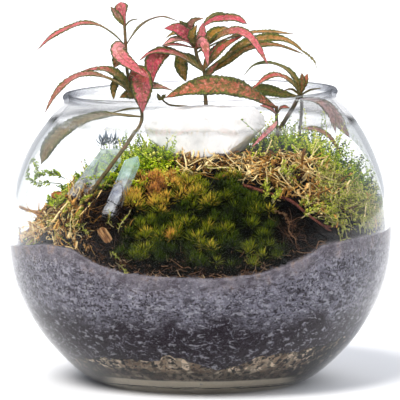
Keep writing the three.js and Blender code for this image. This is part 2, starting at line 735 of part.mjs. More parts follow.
// A six sided crystal with a pointed end, standing on its foot
function crystal({ foot, top, radius, tip, turn }, grow = 0) {
  const from = place(foot);
  const to = place(top);
  const ahead = to.clone().sub(from).normalize();
  const up = new THREE.Vector3(0, -1, 0).projectOnPlane(ahead).normalize();
  const side = new THREE.Vector3().crossVectors(ahead, up);
  const ring = (centre) =>
    Array.from({ length: CRYSTAL_SIDES }, (_, step) => {
      const angle = THREE.MathUtils.degToRad(turn + (step * 360) / CRYSTAL_SIDES);
      const reach = (radius + grow) * (step % 2 === 0 ? 1 : 0.86);
      return centre
        .clone()
        .addScaledVector(up, reach * Math.cos(angle))
        .addScaledVector(side, reach * Math.sin(angle));
    });
  const shoulder = to.clone().addScaledVector(ahead, -tip);
  const point = to.clone().addScaledVector(ahead, grow).addScaledVector(side, radius * 0.25);
  return loft([ring(from), ring(shoulder)], from.clone().addScaledVector(ahead, -grow), point);
}

// Twigs and chips
function twig({ line, lift, radius, end }, grow = 0) {
  const points = line.map((spot) => (spot.length === 3 ? place(spot) : onMound(spot, lift)));
  return tube(points, radius + grow, end + grow, TWIG_SIDES, line.length + 1);
}

function chip({ centre, lift, length, width, thick, turn }, grow = 0) {
  const middle = onMound(centre, lift);
  const angle = THREE.MathUtils.degToRad(turn);
  const along = new THREE.Vector3(Math.cos(angle), 0, Math.sin(angle));
  const slope = new THREE.Vector3(0, -0.8, 0.6);
  const across = new THREE.Vector3().crossVectors(along, slope).normalize();
  const out = new THREE.Vector3().crossVectors(across, along).normalize();
  const corners = [];
  for (const [end, narrow] of [[-1, 0.55], [-0.6, 1], [0.5, 0.9], [1, 0.5]]) {
    for (const side of [-1, 1]) {
      for (const face of [-1, 1]) {
        corners.push(
          middle
            .clone()
            .addScaledVector(along, end * (length / 2 + grow))
            .addScaledVector(across, side * ((width / 2) * narrow + grow))
            .addScaledVector(out, face * (thick / 2 + grow)),
        );
      }
    }
  }
  return solidOf(new ConvexGeometry(corners));
}

// Mosses
// The outline with its inner sides broken into crooked lines, the same for both patches that share a side
function crooked(outline) {
  return outline.flatMap((from, i) => {
    const to = outline[(i + 1) % outline.length];
    if (Math.hypot(...from) > AT_WALL && Math.hypot(...to) > AT_WALL) return [from];
    const forward = from[0] < to[0];
    const [[ax, ay], [bx, by]] = forward ? [from, to] : [to, from];
    const bends = [1 / 3, 2 / 3].map((share, k) => {
      const sway = SIDE_SWAY * Math.sin(ax * 12.9 + by * 7.3 + k * 2.1);
      return [ax + (bx - ax) * share - (by - ay) * sway, ay + (by - ay) * share + (bx - ax) * sway];
    });
    return [from, ...(forward ? bends : bends.reverse())];
  });
}

function columnOver(outline, inset) {
  const centre = outlineCentre(outline);
  const corners = outline.map(([x, y]) => {
    const away = new THREE.Vector2(x, y).sub(centre);
    return away.setLength(away.length() - inset).add(centre);
  });
  const shape = new THREE.Shape(corners);
  return solidOf(new THREE.ExtrudeGeometry(shape, { depth: COLUMN_HEIGHT, bevelEnabled: false }));
}

function outlineCentre(outline) {
  const sum = outline.reduce((total, [x, y]) => total.add(new THREE.Vector2(x, y)), new THREE.Vector2());
  return sum.divideScalar(outline.length);
}

function soilNormal(x, y) {
  const step = 1;
  const slopeX = (soilTop(x + step, y) - soilTop(x - step, y)) / (2 * step);
  const slopeY = (soilTop(x, y + step) - soilTop(x, y - step)) / (2 * step);
  return new THREE.Vector3(-slopeX, -slopeY, 1).normalize();
}

// The share of its height that moss reaches, less on the left where the crystals stand
function mossShare(x, low) {
  return low ? LOW_MOSS + (1 - LOW_MOSS) * THREE.MathUtils.smoothstep(x, LOW_FROM, LOW_TO) : 1;
}

// The matted body of a patch: pointed tufts, in alternate places of a loose grid, lean off the slope
function matBody({ outline, crown, cell, tuft, seed, low = false }) {
  const random = seeded(seed);
  const left = Math.min(...outline.map(([x]) => x)) - cell;
  const front = Math.min(...outline.map(([, y]) => y)) - cell;
  const columns = Math.ceil((Math.max(...outline.map(([x]) => x)) + cell - left) / cell) + 1;
  const rows = Math.ceil((Math.max(...outline.map(([, y]) => y)) + cell - front) / cell) + 1;
  const upper = [];
  const lower = [];
  for (let row = 0; row < rows; row++) {
    for (let column = 0; column < columns; column++) {
      const x = left + (column + (random() - 0.5) * 0.5) * cell;
      const y = front + (row + (random() - 0.5) * 0.5) * cell;
      const lean = soilNormal(x, y).lerp(vector(UP), 0.5).normalize();
      const full = (row + column) % 2 === 0 ? crown + tuft * (0.4 + random()) : crown * 0.5;
      const height = full * mossShare(x, low);
      upper.push(new THREE.Vector3(x, y, soilTop(x, y)).addScaledVector(lean, height));
      lower.push(new THREE.Vector3(x, y, MAT_FLOOR));
    }
  }
  return fieldSolid(upper, lower, columns, rows);
}

// A solid between two grids, with the upper quads split between their low corners
function fieldSolid(upper, lower, columns, rows) {
  const under = upper.length;
  const triangles = [];
  const wall = (from, to) => triangles.push([from, to + under, to], [from, from + under, to + under]);
  for (let row = 0; row + 1 < rows; row++) {
    for (let column = 0; column + 1 < columns; column++) {
      const near = row * columns + column;
      const far = near + columns;
      const quad = [near, near + 1, far + 1, far];
      const [a, b, c, d] = (row + column) % 2 === 0 ? [...quad.slice(1), quad[0]] : quad;
      triangles.push([a, b, c], [a, c, d]);
      triangles.push([a + under, c + under, b + under], [a + under, d + under, c + under]);
    }
  }
  for (let column = 0; column + 1 < columns; column++) {
    const back = (rows - 1) * columns + column;
    wall(column, column + 1);
    wall(back + 1, back);
  }
  for (let row = 0; row + 1 < rows; row++) {
    const near = row * columns;
    wall(near + columns, near);
    wall(near + columns - 1, near + 2 * columns - 1);
  }
  return solidFrom([...upper, ...lower], triangles);
}

// Strands that stand out of a patch, rooted in its body
function matStrands({ outline, crown, strands, reach, spread, radius, bend, seed, low = false }) {
  const random = seeded(seed + 1);
  const between = ([low, high]) => low + (high - low) * random();
  const centre = outlineCentre(outline);
  return Array.from({ length: strands }, () => {
    const corner = Math.floor(random() * outline.length);
    const next = (corner + 1) % outline.length;
    const edge = vector([...outline[corner], 0]).lerp(vector([...outline[next], 0]), random());
    const outward = Math.sqrt(random()) * 0.93;
    const x = centre.x + (edge.x - centre.x) * outward;
    const y = centre.y + (edge.y - centre.y) * outward;
    const ahead = soilNormal(x, y)
      .add(new THREE.Vector3(random() - 0.5, random() - 0.5, random() - 0.3).multiplyScalar(spread))
      .normalize();
    const share = mossShare(x, low);
    const long = between(reach) * share;
    const thick = between(radius);
    const lean = new THREE.Vector3(random() - 0.5, random() - 0.5, 0.2 - random());
    const root = new THREE.Vector3(x, y, soilTop(x, y) + crown * 0.35 * share);
    const tip = root.clone().addScaledVector(ahead, long).addScaledVector(lean, bend * long);
    const middle = root.clone().addScaledVector(ahead, long * 0.55);
    return tube([root, middle, tip], thick, thick * 0.5, STRAND_SIDES, 3, true);
  });
}

function moss(patch, room, obstacles) {
  const whole = join([matBody(patch), ...matStrands(patch)]);
  const kept = whole.intersect(columnOver(crooked(patch.outline), PATCH_GAP)).intersect(room);
  return mainBody(kept.subtract(join(obstacles)));
}

// Materials
function coloured(name, colour, roughness, options = {}) {
  return new THREE.MeshStandardMaterial({ name, color: colour, roughness, ...options });
}

const glass = coloured("clear_glass", 0xeef4f4, 0.05, { transparent: true, opacity: 0.25 });
const gravelStone = coloured("gravel", 0x857565, 0.9);
const soilEarth = coloured("dark_soil", 0x3a3532, 0.95);
const cushionGreen = coloured("cushion_moss", 0x5a6b16, 0.9);
const featherGreen = coloured("feather_moss", 0x9db33f, 0.85);
const driedTan = coloured("dried_moss", 0xa87f4f, 0.9);
const twigRed = coloured("red_twig", 0x5a2f24, 0.8);
const twigTan = coloured("tan_twig", 0x9a6a3c, 0.8);
const barkLight = coloured("light_bark", 0xb08556, 0.85);
const barkOrange = coloured("orange_bark", 0xb5702e, 0.85);
const quartzWhite = coloured("white_quartz", 0xeeecec, 0.35);
const crystalClear = coloured("clear_quartz", 0xd5e4e4, 0.1, { transparent: true, opacity: 0.6 });
const leafPink = coloured("pink_leaf", 0xd4585e, 0.5);
const leafOlive = coloured("olive_leaf", 0xb36a48, 0.5);

// Assembly
const room = roomInside();
const gravel = room.intersect(below(gravelTop, GRAVEL_RINGS));
const heap = room.intersect(below(soilTop, SOIL_RINGS));
const soilUncut = heap.subtract(below((x, y) => gravelTop(x, y) + LAYER_GAP, GRAVEL_RINGS));

const plants = [LEFT_PLANT, CENTRE_PLANT, MIDDLE_RIGHT_PLANT, RIGHT_PLANT];
const grownPlants = plants.map((part) => plant(part, HOLE_GAP));
const grownStones = [
  quartz(QUARTZ_HOLE_SCALE),
  crystal(SLIM_CRYSTAL, CRYSTAL_GAP),
  crystal(WIDE_CRYSTAL, CRYSTAL_GAP),
];
const grownBits = [
  twig(RED_TWIG, HOLE_GAP),
  twig(RED_TWIG_BRANCH, HOLE_GAP),
  twig(LEFT_TWIG, HOLE_GAP),
  chip(LIGHT_CHIP, HOLE_GAP),
  chip(ORANGE_CHIP, HOLE_GAP),
];
const soil = mainBody(soilUncut.subtract(join([...grownPlants, ...grownStones, ...grownBits])));
const underMoss = below((x, y) => soilTop(x, y) + LAYER_GAP, SOIL_RINGS);
const obstacles = [underMoss, ...grownPlants, ...grownStones, ...grownBits];

const terrarium = new THREE.Group();
terrarium.name = "glass_plant_terrarium";
terrarium.add(
  meshOf("glass_bowl", bowl(), glass),
  meshOf("gravel_layer", gravel, gravelStone),
  meshOf("potting_soil", soil, soilEarth),
  meshOf("cushion_moss", moss(CUSHION_MOSS, room, obstacles), cushionGreen),
  meshOf("dried_moss_left", moss(DRIED_MOSS_LEFT, room, obstacles), driedTan),
  meshOf("dried_moss_right", moss(DRIED_MOSS_RIGHT, room, obstacles), driedTan),
  meshOf("feather_moss_right", moss(FEATHER_MOSS_RIGHT, room, obstacles), featherGreen),
  meshOf("feather_moss_left", moss(FEATHER_MOSS_LEFT, room, obstacles), featherGreen),
  meshOf("feather_moss_centre", moss(FEATHER_MOSS_CENTRE, room, obstacles), featherGreen),
  meshOf("feather_moss_back", moss(FEATHER_MOSS_BACK, room, obstacles), featherGreen),
  meshOf("red_twig", join([twig(RED_TWIG), twig(RED_TWIG_BRANCH)]), twigRed),
  meshOf("left_twig", twig(LEFT_TWIG), twigTan),
  meshOf("light_bark_chip", chip(LIGHT_CHIP), barkLight),
  meshOf("orange_bark_chip", chip(ORANGE_CHIP), barkOrange),
  meshOf("white_quartz", quartz(), quartzWhite),
  meshOf("slim_crystal", crystal(SLIM_CRYSTAL), crystalClear),
  meshOf("wide_crystal", crystal(WIDE_CRYSTAL), crystalClear),
  meshOf("left_plant", plant(LEFT_PLANT), leafPink),
  meshOf("centre_plant", plant(CENTRE_PLANT), leafPink),
  meshOf("middle_right_plant", plant(MIDDLE_RIGHT_PLANT), leafOlive),
  meshOf("right_plant", plant(RIGHT_PLANT), leafOlive),
);

export default terrarium;
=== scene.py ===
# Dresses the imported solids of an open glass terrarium: glass, layers, mosses, stones and leaves.
# Lengths are millimetres until a mesh is made. X is right, Y is away from the front and Z is up.
import functools
import math

import bmesh
import bpy
import numpy as np
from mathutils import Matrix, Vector, noise


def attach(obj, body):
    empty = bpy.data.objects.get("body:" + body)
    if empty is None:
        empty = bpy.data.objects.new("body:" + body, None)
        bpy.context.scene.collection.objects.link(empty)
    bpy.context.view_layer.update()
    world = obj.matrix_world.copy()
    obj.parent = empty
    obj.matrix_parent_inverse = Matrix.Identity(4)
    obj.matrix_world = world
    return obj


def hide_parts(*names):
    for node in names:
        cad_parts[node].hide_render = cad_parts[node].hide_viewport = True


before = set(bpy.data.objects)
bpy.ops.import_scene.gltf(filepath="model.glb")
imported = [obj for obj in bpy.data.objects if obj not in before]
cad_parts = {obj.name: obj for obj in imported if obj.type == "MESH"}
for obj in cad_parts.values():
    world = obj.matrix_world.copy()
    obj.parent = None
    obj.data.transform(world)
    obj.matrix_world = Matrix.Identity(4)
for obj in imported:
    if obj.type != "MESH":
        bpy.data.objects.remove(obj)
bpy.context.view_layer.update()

MM = 0.001

# Bowl, as radius and height
BOWL_FOOT = [(0.05, 0), (26, 0), (49, 0)]
BOWL_OUTLINE = [
    (52, 0), (58, 2.4), (66, 8), (80.3, 22.6), (90.5, 38.5), (97, 55), (100, 78), (98.6, 96), (94, 111.5),
    (86.5, 127), (78, 139), (70.9, 147.6),
]
LIP_OUTLINE = [(71.6, 149.8), (70.4, 151.6), (68.4, 151.2)]
BOWL_RADIUS = 100
WALL = 3
BASE_GLASS = 6
BOWL_FLOOR = [(18, BASE_GLASS), (0.05, BASE_GLASS)]
FLOOR_CURVE = 6
THICKER_BELOW = 24
BASE_EXTRA = 2.4
MOUTH_TILT = math.tan(math.radians(1.3))
TILT_FROM = 108
TILT_TO = 148
BOWL_STEPS = 192
PROFILE_STEPS = 6

# Heights in metres over which the glass changes its look
BASE_HEIGHTS = (0.034, 0.022)
NECK_HEIGHTS = (0.122, 0.131)
LIP_HEIGHTS = (0.134, 0.139)
BEAD_HEIGHTS = (0.1468, 0.1482)

# Clearances
LAYER_GAP = 0.35
TOUCH = 0.12
CONTACT_SHARE = 0.75
MOSS_WALL_GAP = 0.7
MAT_WALL_GAP = 0.9

# Places taken from the picture: pixels right, pixels down, then millimetres behind the bowl's axis
MM_PER_PIXEL = 0.5214
PICTURE_PIXELS = 400
CENTRE_COLUMN = 200.2
BASE_ROW = 380
VIEW_ANGLE = math.radians(6)
CAMERA_DISTANCE = 2200
SENSOR = 36
SIGHT_STEP = 0.25
SIGHT_MARGIN = 4

# Studio floor, in metres
FLOOR_SIZE = 12
FLOOR_GAP = 0.0002

# Lamps: where each shines from, its width in degrees, strength and tint
LAMPS = [
    ("key", (-0.7, -1.1, 1.8), 26, 3.7, (1.0, 0.98, 0.95)),
    ("fill", (1.6, -0.8, 1.4), 60, 1.2, (0.95, 0.97, 1.0)),
    ("back", (0.5, 1.5, 1.6), 50, 1.2, (1.0, 1.0, 1.0)),
]

# Layers: height against the glass by angle in degrees from +X
GRAVEL_EDGE = [
    (0, 27), (90, 22), (180, 14), (234, 21), (253, 20.5), (256, 24.3), (268, 20.3), (277, 15.6), (287, 19.5),
    (293, 23.2), (316, 25.5), (333, 28.8), (360, 27),
]
GRAVEL_MIDDLE = 20
GRAVEL_RADIUS = 76
SOIL_EDGE = [
    (0, 83), (45, 88), (90, 92), (135, 86), (160, 77), (180, 71), (216, 77.5), (228, 77), (238, 70),
    (247, 66), (259, 64.7), (275, 64.2), (286, 66), (294, 69), (303, 73.5), (309, 79), (322, 80.5),
    (344, 81.3), (360, 83),
]
SOIL_RADIUS = 96.5
MOUND_RADIUS = 24
MOUND_TOP = 113
MOUND_RIGHT_RISE = 12
RISE_FROM = 20
RISE_TO = 60
SHELF_FROM = -85
SHELF_TO = -75
MOUND_CURVE = 1.6
LAYER_STEPS = 256
INNERMOST = 0.004
UNDER_RINGS = (INNERMOST, 0.35, 0.7)

# Mosses: where they are sparse or low, and how their strands are made
WANDER = 3.2
BARE_SHELF = -82
SHELF_SHARE = 0.15
LOW_MOSS = 0.45
LOW_FROM = -62
LOW_TO = -36
MAT_STEP = 1.6
BLADE_FLATNESS = 0.35
BLADE_FACES = np.array([(0, 2, 1), (0, 3, 2), (0, 1, 3), (4, 1, 2), (4, 2, 3), (4, 3, 1)])
GREEN_TONE = 0.9
SPRIG_COPIES = 3
SHOOTS_OF_TUFT = 5

# Stones, leaves and ways
STONE_CUTS = 3
FLAT_ANGLE = math.radians(4)
SHARP_ANGLE = math.radians(28)
CRYSTAL_SIDES = 6
NARROW_CORNER = 0.86
POINT_OFFSET = 0.25
CHIP_WIDTHS = [(-1, 0.55), (-0.6, 1), (0.5, 0.9), (1, 0.5)]
STEM_STATION = 0.9
KNOT_SIZE = 3.1
LEAF_FOLD = 0.3
LEAF_HALF = 0.28
STATION = 0.55
TOOTH_PITCH = 2.3
TOOTH_DEPTH = 0.5
BLUNT_FROM = 0.7
VEIN_PITCH = 3.4
VEIN_SLANT = 1.3
LEAF_COLUMNS = 9
UP = (0, 0, 1)
FRONT = (0, -1, 0.15)
LEANING = (0, -0.6, 0.8)
ARCHED = (0, -0.8, 0.6)
ASKEW = (0.31, 0.17, 0.93)


def srgb(red, green, blue):
    """A colour as the eye names it, as light amounts."""
    channels = [c / 12.92 if c <= 0.04045 else ((c + 0.055) / 1.055) ** 2.4 for c in (red, green, blue)]
    return (*channels, 1)


PINK = srgb(0.76, 0.37, 0.41)
PALE_PINK = srgb(0.86, 0.56, 0.57)
RED = srgb(0.70, 0.28, 0.27)
CRIMSON = srgb(0.62, 0.16, 0.21)
ORANGE_RED = srgb(0.72, 0.39, 0.29)
RUST = srgb(0.50, 0.32, 0.17)
GOLD = srgb(0.58, 0.46, 0.15)
OLIVE = srgb(0.42, 0.39, 0.14)
DULL_OLIVE = srgb(0.50, 0.47, 0.30)
LEAF_GREEN = srgb(0.28, 0.34, 0.12)
DULL_RED = srgb(0.56, 0.38, 0.34)
DUSTY_PINK = srgb(0.64, 0.37, 0.36)
HOT_PINK = srgb(0.72, 0.28, 0.35)
TAN = srgb(0.62, 0.45, 0.22)
MAUVE = srgb(0.60, 0.47, 0.47)

# Each stem: its line, and its radius at the foot and at the end.
# Each leaf: its line, width, way it faces, where it is widest, inner colours at the stalk and at the tip,
# the share of its width that they take, how much it is blotched with green, and its twist if it has one.
LEFT_STEMS = [
    ([(90, 202, -46), (98, 188, -46), (113, 167, -39), (131, 141, -24), (142, 120, -5), (141, 108, 0),
     (135, 96, 0), (128, 75, 0), (126, 45, 0), (124.7, 24, 0)], 1.1, 0.8),
]
LEFT_LEAVES = [
    ([(126, 46, 0), (114, 35, -3), (100, 26.8, -5), (84, 24.8, -7), (66, 31, -9), (51, 39.5, -10),
     (38.5, 51.5, -11)], 3.7, (0, -0.35, 1), 0.62, OLIVE, PINK, 0.62, 0.35, -30),
    ([(126, 46, 0), (132, 37, -1), (141, 27, -2), (151, 20.5, -4), (163, 18, -6), (177, 22, -8)], 3,
     (0, -0.2, 1), 0.35, OLIVE, DULL_RED, 0.6, 0.3, 12),
    ([(126, 48, 0), (119, 47.5, -4), (118, 52, -8), (124, 60, -11), (136, 69.5, -14), (150, 79.5, -16)],
     7.8, (0.1, -1, 0.25), 0.4, PALE_PINK, PINK, 0.88, 0.08),
    ([(127, 53, 1), (119, 58, 4), (114, 68, 6)], 6.5, FRONT, 0.5, OLIVE, RUST, 0.7, 0.5),
    ([(131, 95, -1), (126, 84, -3), (118, 76, -5), (107, 70.5, -6), (95, 70, -7), (83, 72, -8)], 5.6,
     (0, -0.7, 0.7), 0.42, OLIVE, PINK, 0.6, 0.75),
    ([(132, 97, -1), (122, 86, -6), (108, 79, -9), (92, 75.3, -12), (78, 77.6, -14), (65, 86, -16),
     (55, 98, -18), (46.5, 114, -20)], 4.2, (0, -0.62, 0.8), 0.62, OLIVE, DUSTY_PINK, 0.78, 0.12),
    ([(128, 82, -1), (118, 78, -4), (114, 88, -5), (114, 100, -5)], 4.2, (0.3, -1, 0.1), 0.6, OLIVE, GOLD,
     0.66, 0.5),
    ([(129, 80, -1), (139, 74, -4), (142, 84, -8), (142.5, 98, -9), (143, 113, -8)], 11.5, (0, -1, 0.1),
     0.5, CRIMSON, PINK, 0.84, 0.5),
    ([(134, 92, 1), (148, 87, 3), (161, 87.5, 4), (173, 90.5, 4)], 4.6, LEANING, 0.45, OLIVE, DULL_RED, 0.7,
     0.4),
    ([(135, 98, 0), (128, 95, -3), (120, 98, -5)], 4.5, FRONT, 0.5, OLIVE, RUST, 0.6, 0.6),
    ([(125.2, 27, 0), (118, 17, -1), (111, 7.5, -2)], 4.2, (0.35, -1, 0), 0.55, OLIVE, DULL_RED, 0.62, 0.5),
    ([(126, 27, 0), (123.5, 15, 1), (120.5, 3, 1)], 7.6, (-0.2, -1, 0), 0.8, PINK, PINK, 0.82, 0.15),
    ([(125, 27, 0), (131, 21.5, 0), (138, 19.6, 0)], 2.4, UP, 0.4, LEAF_GREEN, LEAF_GREEN, 0.5, 0.3),
    ([(142, 117, -3), (129, 116, -6), (113, 115, -10), (97, 117, -14), (80, 123, -17), (64, 134, -18),
     (51, 149, -18), (44, 165, -18)], 8, ARCHED, 0.71, DULL_OLIVE, DULL_OLIVE, 0.7, 0.3),
    ([(140, 108, 0), (126, 110, -4), (113, 113, -9)], 3, UP, 0.4, DULL_OLIVE, DULL_OLIVE, 0.6, 0.3),
]
CENTRE_STEMS = [
    ([(210, 176, 24), (208, 150, 22), (207, 120, 19), (205, 90, 15), (204, 71, 12), (199, 62, 12),
     (196, 52, 12), (195, 40, 12)], 1.3, 0.9),
    ([(206, 108, 17), (185, 106, 13), (168, 104, 10), (161, 98, 9)], 0.6, 0.5),
]
CENTRE_LEAVES = [
    ([(204, 71, 12), (192, 62, 9), (178, 55, 6), (163, 51.5, 3), (150, 53.5, 1), (139.5, 61, 0)], 6.4,
     LEANING, 0.45, OLIVE, PINK, 0.66, 0.4),
    ([(170, 52.5, 4), (160, 55, 3), (153.5, 62, 2), (152, 71, 2), (153, 83, 2)], 9.6, (0.1, -0.97, 0.2),
     0.42, CRIMSON, HOT_PINK, 0.84, 0.15),
    ([(204, 70, 12), (190, 58, 17), (181, 60, 18), (182, 70, 18), (186, 81, 18)], 7.5, (0.2, -1, 0.3), 0.66,
     OLIVE, GOLD, 0.62, 0.65),
    ([(195, 47, 12), (186, 41, 9), (175, 40, 7), (162, 46, 5)], 5, LEANING, 0.5, PINK, PALE_PINK, 0.66,
     0.3),
    ([(196, 48, 11), (184, 46, 7), (172, 45, 5), (163, 47, 4)], 3, (0, -0.4, 0.9), 0.5, CRIMSON, PINK, 0.7,
     0.3),
    ([(195, 43, 12), (186, 34, 9), (176, 28.5, 6), (164.4, 28.8, 4)], 7.4, FRONT, 0.5, PINK, HOT_PINK, 0.82,
     0.12),
    ([(195, 43, 13), (182, 34, 12), (172, 34, 10), (166, 38, 9)], 3.4, LEANING, 0.5, OLIVE, GOLD, 0.6, 0.5),
    ([(195, 41, 12), (187, 28, 13), (179, 20, 13)], 5, FRONT, 0.5, OLIVE, LEAF_GREEN, 0.6, 0.6),
    ([(195, 40, 11), (190, 29, 10), (193, 21, 9), (204, 18, 9)], 4.4, FRONT, 0.4, PINK, DULL_RED, 0.75,
     0.2),
    ([(195, 46, 11), (192, 35, 8), (197, 25, 7)], 4.6, FRONT, 0.5, OLIVE, GOLD, 0.66, 0.45),
    ([(196, 48, 11), (201, 38, 6), (203, 23, 5)], 5.6, FRONT, 0.55, CRIMSON, PINK, 0.85, 0.1),
    ([(197, 46, 10), (203, 42, 4), (206, 51, 1), (208, 66, -1)], 5.4, (0, -1, 0.1), 0.4, PALE_PINK, PINK,
     0.9, 0.05),
    ([(195, 42, 12), (202, 28, 11), (212, 20.5, 10), (224, 18.5, 9), (236, 18.5, 8), (247, 24, 7)], 5.4,
     (0, -0.75, 0.65), 0.72, PINK, HOT_PINK, 0.72, 0.2),
    ([(202, 29, 12), (209, 18, 12), (219, 14, 11), (232, 17, 10)], 3, (0, -0.5, 0.8), 0.5, OLIVE,
     LEAF_GREEN, 0.6, 0.6),
    ([(196, 49, 12), (206, 41, 10), (214, 33, 9), (223, 29, 9), (233, 29.5, 9)], 5.4, ARCHED, 0.5, OLIVE,
     GOLD, 0.6, 0.4),
    ([(196.8, 52.8, 12), (210, 42, 10), (222, 34.5, 6), (235, 31.5, 2), (247, 36, -3), (256, 46, -7),
     (267.5, 66, -11)], 5.2, (0.15, -0.9, 0.5), 0.6, OLIVE, PINK, 0.84, 0.06),
    ([(196.6, 52.5, 12.3), (225, 39, 15), (250, 32.5, 16), (272, 31.5, 16), (294, 33.5, 16)], 3.4,
     (0, -0.5, 0.85), 0.7, OLIVE, TAN, 0.6, 0.35),
    ([(205, 71, 12), (222, 60, 11), (244, 44, 10), (262, 38.5, 10), (280, 38.5, 9), (294, 44, 8),
     (305, 53.5, 7)], 5.4, (0, -0.75, 0.65), 0.55, OLIVE, TAN, 0.6, 0.5),
    ([(302, 50.5, 7.2), (310, 56.5, 6.8), (315, 62.5, 6.4), (316.7, 70, 6)], 1.4, FRONT, 0.3, DULL_OLIVE,
     DULL_OLIVE, 0.5, 0.3),
    ([(206, 74, 12), (224, 64, 10), (243, 51, 8), (262, 45, 7), (280, 46, 6), (303, 54, 5)], 4.6,
     (0, -0.7, 0.7), 0.42, GOLD, RUST, 0.6, 0.45),
    ([(204, 70, 12), (213, 58, 7), (226, 45, 4), (243, 36, 2)], 4.6, ARCHED, 0.55, OLIVE, RED, 0.7, 0.25),
    ([(203, 69, 12), (211, 55, 15), (219, 46, 17), (227, 38, 19)], 5, FRONT, 0.5, RUST, RED, 0.66, 0.3),
    ([(205, 78, 13), (211, 70, 9), (218, 63, 6)], 4, FRONT, 0.5, OLIVE, RED, 0.6, 0.3),
    ([(161, 100, 9), (159, 97, 8), (157, 93, 7)], 2.4, FRONT, 0.4, LEAF_GREEN, LEAF_GREEN, 0.5, 0.3),
    ([(161, 100, 9), (163, 97, 9), (166, 94, 9)], 2.4, FRONT, 0.4, LEAF_GREEN, LEAF_GREEN, 0.5, 0.3),
]
MIDDLE_RIGHT_STEMS = [
    ([(279, 160, 2), (278, 138, 2), (276.5, 121, 2), (276.5, 106, 2)], 1.1, 0.8),
]
MIDDLE_RIGHT_LEAVES = [
    ([(276.5, 108, 2), (264, 101, -3), (250, 94, -8), (230, 88, -12), (206, 87, -15), (185, 91, -17),
     (165.4, 99, -18)], 10.8, (0, -0.95, 0.35), 0.6, ORANGE_RED, ORANGE_RED, 0.74, 0.8),
    ([(276.5, 114, 2), (268, 108, -2), (260, 106, -5)], 5, LEANING, 0.5, PINK, PINK, 0.75, 0.2),
    ([(276.8, 114, 2), (282, 108, -1), (289, 108, -3)], 4, LEANING, 0.5, OLIVE, RED, 0.6, 0.3),
    ([(277, 121, 2), (273, 127, -9), (263, 137, -20), (251, 148, -27)], 3.6, (0, -0.75, 0.65), 0.55,
     PALE_PINK, PINK, 0.85, 0.05),
]
RIGHT_STEMS = [
    ([(272, 160, 18), (276, 138, 16), (283, 124, 13), (294, 106, 7), (300.7, 92, 3)], 1.4, 1),
    ([(297, 160, 16), (300, 138, 15), (301, 123, 14), (302, 106, 9), (301, 93, 3)], 0.9, 0.8),
]
RIGHT_LEAVES = [
    ([(300.5, 93, 3), (297, 82, 4), (290, 72.5, 4), (279, 66, 3), (266, 63, 2), (253, 66, 1),
     (244, 75.4, 0)], 3.8, (0, -0.5, 0.85), 0.3, OLIVE, LEAF_GREEN, 0.55, 0.6),
    ([(300, 94, 3), (293, 84, -1), (284, 78, -4), (274, 76, -8), (264, 80, -12), (251, 91, -16)], 3.8,
     (0, -0.75, 0.65), 0.55, OLIVE, RED, 0.66, 0.25),
    ([(299, 97, 5), (284, 94, 8), (268, 90, 9), (256, 89, 9), (245, 91, 9)], 6.2, FRONT, 0.6, OLIVE,
     LEAF_GREEN, 0.5, 0.9),
    ([(299.5, 95, 3), (290, 89.5, -1), (280, 93, -3)], 3, UP, 0.4, OLIVE, RUST, 0.6, 0.3),
    ([(301, 94, 3), (302, 83, 2), (301.6, 73, 1)], 3.4, FRONT, 0.6, RUST, RUST, 0.62, 0.5),
    ([(301.3, 94, 3), (304, 83.5, 3), (307.5, 73.8, 3)], 3.8, FRONT, 0.6, RUST, ORANGE_RED, 0.62, 0.4),
    ([(301, 95, 3), (310, 90.5, 1), (320, 88.5, -1)], 3.4, UP, 0.4, OLIVE, LEAF_GREEN, 0.5, 0.4),
    ([(299, 99, 5), (310, 100, -3), (321, 104, -8), (330, 114, -11), (334, 134, -12)], 3.8, (0, -0.9, 0.4),
     0.68, MAUVE, MAUVE, 0.9, 0.1),
    ([(300, 99, 5), (312, 99.5, 5), (322, 103, 5), (330.5, 110.5, 5), (338, 120, 5), (345, 129.5, 5),
     (350.5, 137, 5)], 6.4, (0, -0.9, 0.4), 0.62, MAUVE, MAUVE, 0.9, 0.1),
    ([(300.7, 129, 14), (307, 128.5, 7), (317, 130, 2), (328, 136, -1), (335, 145, -3), (340, 155, -4)],
     3.6, (0, -0.7, 0.7), 0.42, PINK, RUST, 0.7, 0.3),
]

# Corners that the moss patches share, seen from above
WALL_LEFT = (-98, -12)
LEFT_INNER = (-64, -20)
CENTRE_LEFT = (-36, -44)
FRONT_LEFT = (-37, -93)
FOOT_LEFT = (-14, -40)
FOOT_RIGHT = (14, -42)
SLOPE_RIGHT = (38, -62)
FRONT_RIGHT = (42, -91)
RIGHT_INNER = (30, -12)
RIGHT_OUTER = (86, -18)
WALL_RIGHT = (92, 34)
BACK_RIGHT = (66, 54)
STEM_RIGHT = (44, 40)
QUARTZ_RIGHT = (28, 12)
QUARTZ_BACK = (0, 7)
QUARTZ_FRONT = (-10, -9)
QUARTZ_LEFT = (-22, 10)
BACK_CENTRE = (-38, 26)
BACK_LEFT = (-58, 34)
CENTRE_BACK = (-54, 4)
WALL_BACK = (-74, 56)
WALL_FRONT_RIGHT = (97, -16)
WALL_BACK_RIGHT = (82, 60)

# Green sprigs in the dried moss at the left and at the right, as places in the picture
LEFT_SPRIGS = [
    [(56, 208), (61, 201), (65, 193)], [(66, 216), (71, 208), (70, 199)], [(76, 224), (83, 216), (88, 208)],
    [(72, 190), (78, 186), (85, 187)], [(46, 226), (53, 221), (60, 219)], [(84, 206), (90, 199), (97, 196)],
]
RIGHT_SPRIGS = [
    [(262, 199), (266, 191), (264, 184), (269, 178)], [(268, 202), (273, 195), (277, 191)],
    [(298, 214), (305, 209), (313, 206), (320, 203)], [(300, 208), (306, 201), (314, 198)],
    [(318, 214), (326, 210), (333, 211)], [(284, 178), (289, 172), (296, 168)],
    [(276, 176), (281, 169), (282, 163)], [(332, 204), (339, 199), (345, 194)],
]

